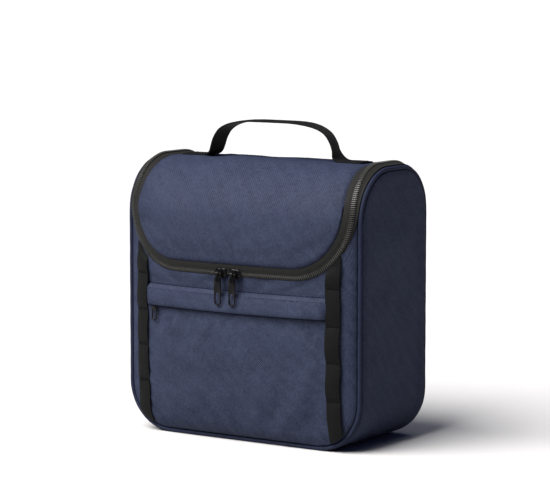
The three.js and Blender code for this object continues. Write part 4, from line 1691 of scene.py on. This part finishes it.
@dataclass
class GearStrips:
    """Two upright webbing strips, sewn down at intervals so that they stand off in flat loops."""

    body: str = "bag"
    x: float = 98.0
    width: float = 12.4
    tacks: tuple[float, ...] = (141.0, 109.0, 78.0, 46.0)
    slack: float = 1.5
    stand_off: float = 2.4  # of the strip's outer side, where it is sewn down
    thickness: float = 1.1

    def heights(self, z: Array, top: Array, seed: int) -> Array:
        """Height of a strip's middle: down at each tack and end, and off the cloth between.

        Args:
            z: places up the strip.
            top: where the strip ends.
            seed: which slack each loop has.

        Returns:
            The heights.
        """
        rng = np.random.default_rng(seed)
        stops = np.array([9.0, *sorted(self.tacks), 158.0])
        found = np.zeros_like(z)
        for low, high in zip(stops[:-1], stops[1:]):
            t = np.clip((z - low) / (high - low), 0, 1)
            loop = np.where((z > low) & (z < high), np.sin(math.pi * t) ** 0.7, 0)
            found = np.maximum(found, loop * rng.uniform(0.7, 1.2))
        return found * self.slack * smooth(top - z, 0, 6)

    def sway(self, z: Array, seed: int) -> Array:
        """How far a strip wanders sideways at height z."""
        return 0.7 * Crinkle(101 + seed, 34, 0.6, waves=5, heading=90, spread=0.05).at(0 * z, z)

    def build(self) -> None:
        """Build both strips and their bar-tacks."""
        for seed, side in enumerate(Side):
            u = np.linspace(-0.5, 0.5, 9)[:, None]
            edge_x = side.value * self.x + u * self.width
            low, high = SHAPE.bottom_edge(edge_x) + 0.7, SHAPE.mouth_edge(edge_x) - 0.9
            z = low + (high - low) * np.linspace(0, 1, 96)[None, :]
            x = edge_x + self.sway(z, seed)
            lift = self.heights(z, high + 0 * z, 111 + seed)
            bow = (1 - (2 * u) ** 2) * (0.2 + 0.25 * lift) + Crinkle(121 + seed, 15, 0.1).at(x, z)
            outer = self.stand_off + lift + bow
            strip = saddle_sheet(x, z, outer, outer - self.thickness, 0.25)
            label = side.name.lower()
            make_piece(
                f"gear_strip_webbing_{label}", strip, Finish.WEBBING, self.body, [f"gear_strip_{label}"]
            )
            for k, level in enumerate(self.tacks):
                self.bar_tack(f"{label}_{k + 1}", side, level, seed)

    def bar_tack(self, label: str, side: Side, level: float, seed: int) -> None:
        """Sew one bar-tack: a dense zigzag across the strip.

        Args:
            label: the end of the piece's name.
            side: which strip it holds.
            level: its height on the bag.
            seed: the strip's seed.
        """
        x = side.value * self.x + self.sway(np.full(1, level), seed)
        turns = np.arange(24)
        across = x + (turns / 23 - 0.5) * (self.width - 1.0)
        z = level + np.where(turns % 2 == 0, 0.9, -0.9)
        line = SHAPE.point(across, z, 3.15)
        thread = bars(line[:-1], line[1:], SHAPE.normal(across[:-1], z[:-1]), 0.5, 0.5, 0.8)
        make_piece(f"bar_tack_thread_{label}", thread, Finish.BLACK_THREAD, self.body, [f"bar_tack_{label}"])


# --------------------------------------------------------------------------------------------------
# Sliders and pulls.


@dataclass
class ZipSlider:
    """A zip slider with its bail, and the pull that hangs on it."""

    name: str
    x: float
    s: float
    facing: int  # 1 where its nose points to +X
    slider_body: str
    pull_body: str
    length: float = 12.0
    height: float = 9.0
    base: float = 2.6
    thickness: float = 1.5
    bar_height: float = 7.8
    bar_drop: float = 0.0
    bar: float = 0.7
    pull_length: float = 27.6
    pull_width: float = 7.0
    pull_thickness: float = 1.2
    eye: float = 1.45  # radius of the middle of the eye's wall
    eye_wall: float = 0.42
    eye_width: float = 3.0

    def place(self, points: Array) -> Array:
        """Move points from the slider's own frame, which faces -Y, to its place on the bag.

        Args:
            points: the points in the slider's frame.

        Returns:
            The points on the bag.
        """
        middle = SHAPE.point(np.array([self.x]), np.array([self.s]))[0]
        slope = SHAPE.point(np.array([self.x + 1.0]), np.array([self.s]))[0]
        slope = slope - SHAPE.point(np.array([self.x - 1.0]), np.array([self.s]))[0]
        angle = math.atan2(slope[1], slope[0])
        c, s = math.cos(angle), math.sin(angle)
        turn = np.array([[c, -s, 0], [s, c, 0], [0, 0, 1]])
        return points @ turn.T + middle

    def plate(self) -> Surface:
        """Make the slider's upper plate: a shield with a waist, rounded over at its edge.

        Returns:
            The plate.
        """
        angle = np.linspace(0, 2 * math.pi, 49)[:-1]
        half_l, half_h = self.length / 2, self.height / 2
        x = half_l * np.sign(np.cos(angle)) * np.abs(np.cos(angle)) ** 0.62
        taper = 1 - 0.42 * np.clip(self.facing * x / half_l, 0, 1) ** 2 - 0.16 * np.exp(
            -((x / (0.3 * half_l)) ** 2)
        )
        z = half_h * np.sign(np.sin(angle)) * np.abs(np.sin(angle)) ** 0.55 * taper
        rings = []
        levels = (
            (0.0, 0.86), (0.12, 0.96), (0.35, 1.0), (0.62, 0.99), (0.85, 0.92), (1.0, 0.78), (1.06, 0.4)
        )
        for level, scale in levels:
            y = np.full_like(x, -self.base - self.thickness * level)
            rings.append(np.stack([x * scale, y, z * scale], axis=-1))
        return loops(rings, False)

    def bail(self) -> Surface:
        """Make the bridge over the plate that the pull hangs on.

        Returns:
            The bail.
        """
        half = self.length / 2 - 2.2
        foot, top = -self.base - self.thickness * 0.7, -self.bar_height
        path = catmull(
            [
                (-half - 0.5, foot, 0.2),
                (-half - 0.1, foot * 0.5 + top * 0.5, -self.bar_drop * 0.6),
                (-half * 0.72, top + 0.12, -self.bar_drop),
                (0, top, -self.bar_drop),
                (half * 0.72, top + 0.12, -self.bar_drop),
                (half + 0.1, foot * 0.5 + top * 0.5, -self.bar_drop * 0.6),
                (half + 0.5, foot, 0.2),
            ],
            5,
        )
        along = unit(np.gradient(path, axis=0))
        side = unit(np.cross(along, np.array([0.0, 0.0, 1.0])))
        over = np.cross(side, along)
        angle = np.linspace(0, 2 * math.pi, 11)[:-1]
        rings = [
            path[k] + self.bar * (side[k] * np.cos(angle)[:, None] + 1.15 * over[k] * np.sin(angle)[:, None])
            for k in range(len(path))
        ]
        return loops([ring[::-1] for ring in rings], False)

    def wings(self) -> Surface:
        """Make the flanges folded down round the coil's edges.

        Returns:
            Both flanges.
        """
        y, z = -self.base - 0.1, self.height / 2 - 0.55
        start = np.array([[-self.length * 0.34, y, -z], [-self.length * 0.34, y, z]])
        end = np.array([[self.length * 0.30, y, -z], [self.length * 0.30, y, z]])
        return bars(start, end, np.array([[0.0, -1.0, 0.0]]), 0.9, 1.6, 0.6)

    def pull(self) -> Surface:
        """Make the pull: a flat tongue with a long hole near its tip, and the eye round the bail.

        Returns:
            The pull.
        """
        width = self.pull_width / 2
        tip = -self.pull_length + width
        count = 64
        angle = np.linspace(0, 2 * math.pi, count + 1)[:-1]
        reach = -self.eye - self.eye_wall * 0.2
        hole_low, hole_high, hole = tip + 0.1, tip + self.pull_width * 0.72, width - 1.25
        outline, inside = [], []
        for a in angle:
            c, s = math.cos(a), math.sin(a)
            inside.append((hole * c, (hole_high if s > 0 else hole_low) + hole * s * 1.05))
            if s < 0:
                outline.append((width * c, tip + width * s))
            else:
                shoulder = min(1.0, abs(s) / 0.92)
                z = tip + (reach - tip) * min(1.0, shoulder**0.8)
                neck = self.eye_width / 2 + (width - self.eye_width / 2) * smooth(
                    np.array(reach - z), 0.0, 5.5
                )
                outline.append((float(neck) * (np.sign(c) if abs(s) < 0.92 else c / 0.392), z))
        outline, inside = np.array(outline), np.array(inside)
        middle = (outline + inside) / 2

        def ring(flat: Array, y: float, pull_in: float) -> Array:
            """One loop of the plate.

            Args:
                flat: its outline.
                y: its depth.
                pull_in: how far it is drawn towards the middle of its wall.

            Returns:
                The loop's points.
            """
            moved = flat + unit(middle - flat) * pull_in
            return np.stack([moved[:, 0], np.full(count, y), moved[:, 1]], axis=-1)

        half = self.pull_thickness / 2
        outer = [(-half, 0.3), (-half + 0.22, 0.0), (half - 0.22, 0.0), (half, 0.3)]
        inner = [(half, 0.25), (half - 0.2, 0.0), (-half + 0.2, 0.0), (-half, 0.25)]
        tongue = loops(
            [*[ring(outline, *place) for place in outer], *[ring(inside, *place) for place in inner]], True
        )
        tongue.seam = np.repeat([0.2, 1.0, 1.0, 0.2, 0.2, 0.9, 0.9, 0.2], count)
        turn = np.linspace(0, 2 * math.pi, 25)[:-1]
        eye = []
        for wall, x in ((1, -0.42), (1, 0.42), (0, 0.5), (-1, 0.42), (-1, -0.42), (0, -0.5)):
            radius = self.eye + self.eye_wall * wall
            at = np.full_like(turn, x * self.eye_width)
            eye.append(np.stack([at, radius * np.cos(turn), radius * np.sin(turn)], axis=-1))
        whole = tongue + loops(eye, True)
        whole.points = whole.points + np.array([0, -self.bar_height, -self.bar_drop])
        return whole

    def build(self) -> None:
        """Build the slider and its pull."""
        slider = self.plate() + self.bail() + self.wings()
        slider.points = self.place(slider.points)
        make_piece(
            f"{self.name}_slider_casting",
            slider,
            Finish.ENAMEL,
            self.slider_body,
            [f"{self.name}_slider"],
            sharp=60,
        )
        pull = self.pull()
        pull.points = self.place(pull.points)
        make_piece(
            f"{self.name}_pull_tab", pull, Finish.ENAMEL, self.pull_body, [f"{self.name}_pull"], sharp=60
        )


# --------------------------------------------------------------------------------------------------
# Handle.


@dataclass
class Handle:
    """One strip of webbing, sewn flat at both ends and standing in a hoop between them."""

    y: float = -1.0
    width: float = 20.0
    thickness: float = 1.4
    foot_z: float = 241.0
    twist: tuple[float, float] = (3.0, 15.0)  # degrees that the left and right legs turn
    route: tuple[tuple[float, float], ...] = (
        (92.0, 241.0),
        (80.0, 241.0),
        (71.0, 241.1),
        (66.5, 242.2),
        (63.5, 245.0),
        (61.8, 249.3),
        (59.0, 256.7),
        (53.0, 264.4),
        (42.0, 269.6),
        (25.0, 272.3),
        (0.0, 272.7),
    )

    def build(self) -> None:
        """Build the strip and the stitching of its ends."""
        half = catmull(self.route, 6)
        path = np.concatenate([half * np.array([-1, 1]), half[-2::-1]])
        along = unit(np.gradient(path, axis=0))
        out = np.stack([-along[:, 1], along[:, 0]], axis=-1)
        run = distances(path)
        v = np.linspace(-0.5, 0.5, 11)
        cup = 0.35 * (2 * v) ** 2
        grids = []
        for offset in (self.thickness / 2, -self.thickness / 2):
            x = path[:, None, 0] + out[:, None, 0] * (offset - cup[None, :])
            z = path[:, None, 1] + out[:, None, 1] * (offset - cup[None, :])
            rise = smooth(path[:, 1], self.foot_z, self.foot_z + 10) * (
                1 - smooth(-np.abs(path[:, 0]), -52, -25)
            )
            turn = np.radians(np.where(path[:, 0] < 0, self.twist[0], self.twist[1])) * rise
            across = v[None, :] * self.width
            x = x - across * np.sin(turn)[:, None] * np.where(path[:, :1] < 0, -1, 1)
            y = self.y + across * np.cos(turn)[:, None] + 0.35 * np.sin(run / 23)[:, None]
            grids.append(np.stack(np.broadcast_arrays(x, y, z), axis=-1))
        cloth = np.stack(np.broadcast_arrays(v[None, :] * self.width, run[:, None]), axis=-1)
        strip = make_piece(
            "handle_webbing",
            closed_sheet(grids[0], grids[1], cloth, 0.3),
            Finish.WEBBING,
            None,
            ["handle_foot_left", "handle_foot_right", "handle_hoop"],
        )
        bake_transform(strip)
        for side in Side:
            self.box_stitch(side)

    def box_stitch(self, side: Side) -> None:
        """Sew one end down with a box and a cross in it.

        Args:
            side: which end.
        """
        near, far, wide = 75.5, 89.5, 7.6
        corners = [(near, -wide), (far, -wide), (far, wide), (near, wide), (near, -wide), (far, wide)]
        parts = None
        for (x0, y0), (x1, y1) in [*zip(corners[:-1], corners[1:]), ((near, wide), (far, -wide))]:
            t = np.linspace(0, 1, 24)[:, None]
            first, last = (np.array([side.value * x, self.y + y, 0]) for x, y in ((x0, y0), (x1, y1)))
            line = first * (1 - t) + last * t
            line[:, 2] = self.foot_z + self.thickness / 2 + 0.05
            row = stitches(line, np.tile([0.0, 0.0, 1.0], (24, 1)), 2.6, 2.0, 0.45)
            parts = row if parts is None else parts + row
        make_piece(f"handle_box_stitch_{side.name.lower()}", parts, Finish.BLACK_THREAD, "lid")


# --------------------------------------------------------------------------------------------------
# Studio.


def direction(azimuth: float, elevation: float) -> Vector:
    """The way to a lamp or the camera from the bag, from degrees to +X of straight ahead and degrees up."""
    a, e = math.radians(azimuth), math.radians(elevation)
    return Vector((math.sin(a) * math.cos(e), -math.cos(a) * math.cos(e), math.sin(e)))


@dataclass(frozen=True)
class Lamp:
    """A large far-off soft box, which lights the floor as evenly as the bag."""

    name: str
    azimuth: float  # degrees from straight ahead, towards +X
    elevation: float
    strength: float
    softness: float  # angle that it fills, in degrees
    colour: str = "#ffffff"


@dataclass
class Studio:
    """Pale paper, soft lights and the camera."""

    ambient: float = 0.08
    lamps: tuple[Lamp, ...] = (
        Lamp("key", -24, 51, 8.4, 50, "#fffcf9"),
        Lamp("overhead", 0, 88, 0.6, 60),
    )
    azimuth: float = 33.727
    elevation: float = 6.702
    distance: float = 2.2636
    lens: float = 170.34
    aim_height: float = 0.1611
    aim_right: float = -0.00139

    def camera(self) -> None:
        """Make the camera."""
        a = math.radians(self.azimuth)
        right = Vector((math.cos(a), math.sin(a), 0))
        aim = right * self.aim_right + Vector((0, 0, self.aim_height))
        back = direction(self.azimuth, self.elevation)
        data = bpy.data.cameras.new("camera")
        data.lens, data.sensor_width = self.lens, 36.0
        data.clip_start, data.clip_end = 0.05, 60.0
        camera = bpy.data.objects.new("camera", data)
        bpy.context.scene.collection.objects.link(camera)
        camera.rotation_mode = "QUATERNION"
        camera.location = aim + back * self.distance
        camera.rotation_quaternion = (-back).to_track_quat("-Z", "Y")
        bpy.context.scene.camera = camera

    def light(self, lamp: Lamp) -> None:
        """Make one soft box.

        Args:
            lamp: where it stands and what it gives.
        """
        data = bpy.data.lights.new(lamp.name, "SUN")
        data.energy, data.angle = lamp.strength, math.radians(lamp.softness)
        data.color = linear(lamp.colour)[:3]
        made = bpy.data.objects.new(lamp.name, data)
        bpy.context.scene.collection.objects.link(made)
        towards = direction(lamp.azimuth, lamp.elevation)
        made.location = towards * 3
        made.rotation_euler = (-towards).to_track_quat("-Z", "Y").to_euler()

    def floor(self) -> None:
        """Lay the paper: flat under the bag, and far enough to pass out of view."""
        radius, rings, sides = 40.0, 30, 64
        r = radius * np.linspace(0.02, 1, rings) ** 2
        angle = np.linspace(0, 2 * math.pi, sides + 1)[:-1]
        points = [(d * math.cos(a), d * math.sin(a), 0.0) for d in r for a in angle]
        faces = [
            (
                k * sides + m,
                (k + 1) * sides + m,
                (k + 1) * sides + (m + 1) % sides,
                k * sides + (m + 1) % sides,
            )
            for k in range(rings - 1)
            for m in range(sides)
        ]
        faces.append(tuple(range(sides)))
        mesh = bpy.data.meshes.new("paper_floor")
        mesh.from_pydata(points, [], faces)
        mesh.materials.append(Finish.PAPER.material())
        floor = bpy.data.objects.new("paper_floor", mesh)
        bpy.context.scene.collection.objects.link(floor)

    def build(self) -> None:
        """Set the studio up."""
        scene = bpy.context.scene
        scene.view_settings.view_transform = "Standard"
        scene.world = bpy.data.worlds.new("studio")
        scene.world.use_nodes = True
        tree = scene.world.node_tree
        tree.nodes.clear()
        room = add_node(tree, "Background", {"Color": linear("#92a9ff"), "Strength": self.ambient})
        backdrop = add_node(tree, "Background", {"Color": linear("#ffffff"), "Strength": 1.0})
        seen = add_node(tree, "LightPath").outputs["Is Camera Ray"]
        both = add_node(tree, "MixShader", {0: seen, 1: room.outputs[0], 2: backdrop.outputs[0]})
        add_node(tree, "OutputWorld", {0: both.outputs[0]})
        self.camera()
        self.floor()
        for lamp in self.lamps:
            self.light(lamp)


def main() -> None:
    """Build the bag and its studio."""
    logging.basicConfig(level=logging.INFO, format="%(message)s")
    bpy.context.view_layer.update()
    Studio().build()
    Shell().build()
    Lid().build()
    MainZip().build()
    Pocket().build()
    GearStrips().build()
    zip_s = SHAPE.lid_bottom - 7.8
    ZipSlider("left", -9.2, zip_s, -1, "left_zip_slider", "left_zip_pull").build()
    ZipSlider("right", 5.4, zip_s, 1, "right_zip_slider", "right_zip_pull").build()
    ZipSlider(
        "pocket",
        -82.0,
        117.0,
        1,
        "pocket_zip_slider",
        "pocket_zip_pull",
        length=9.0,
        height=6.5,
        base=2.0,
        thickness=0.7,
        bar_height=4.0,
        bar_drop=1.8,
        bar=0.4,
        pull_length=15.4,
        pull_width=6.4,
        pull_thickness=0.9,
        eye=0.83,
        eye_wall=0.17,
        eye_width=2.6,
    ).build()
    Handle().build()


if __name__ == "__main__":
    main()
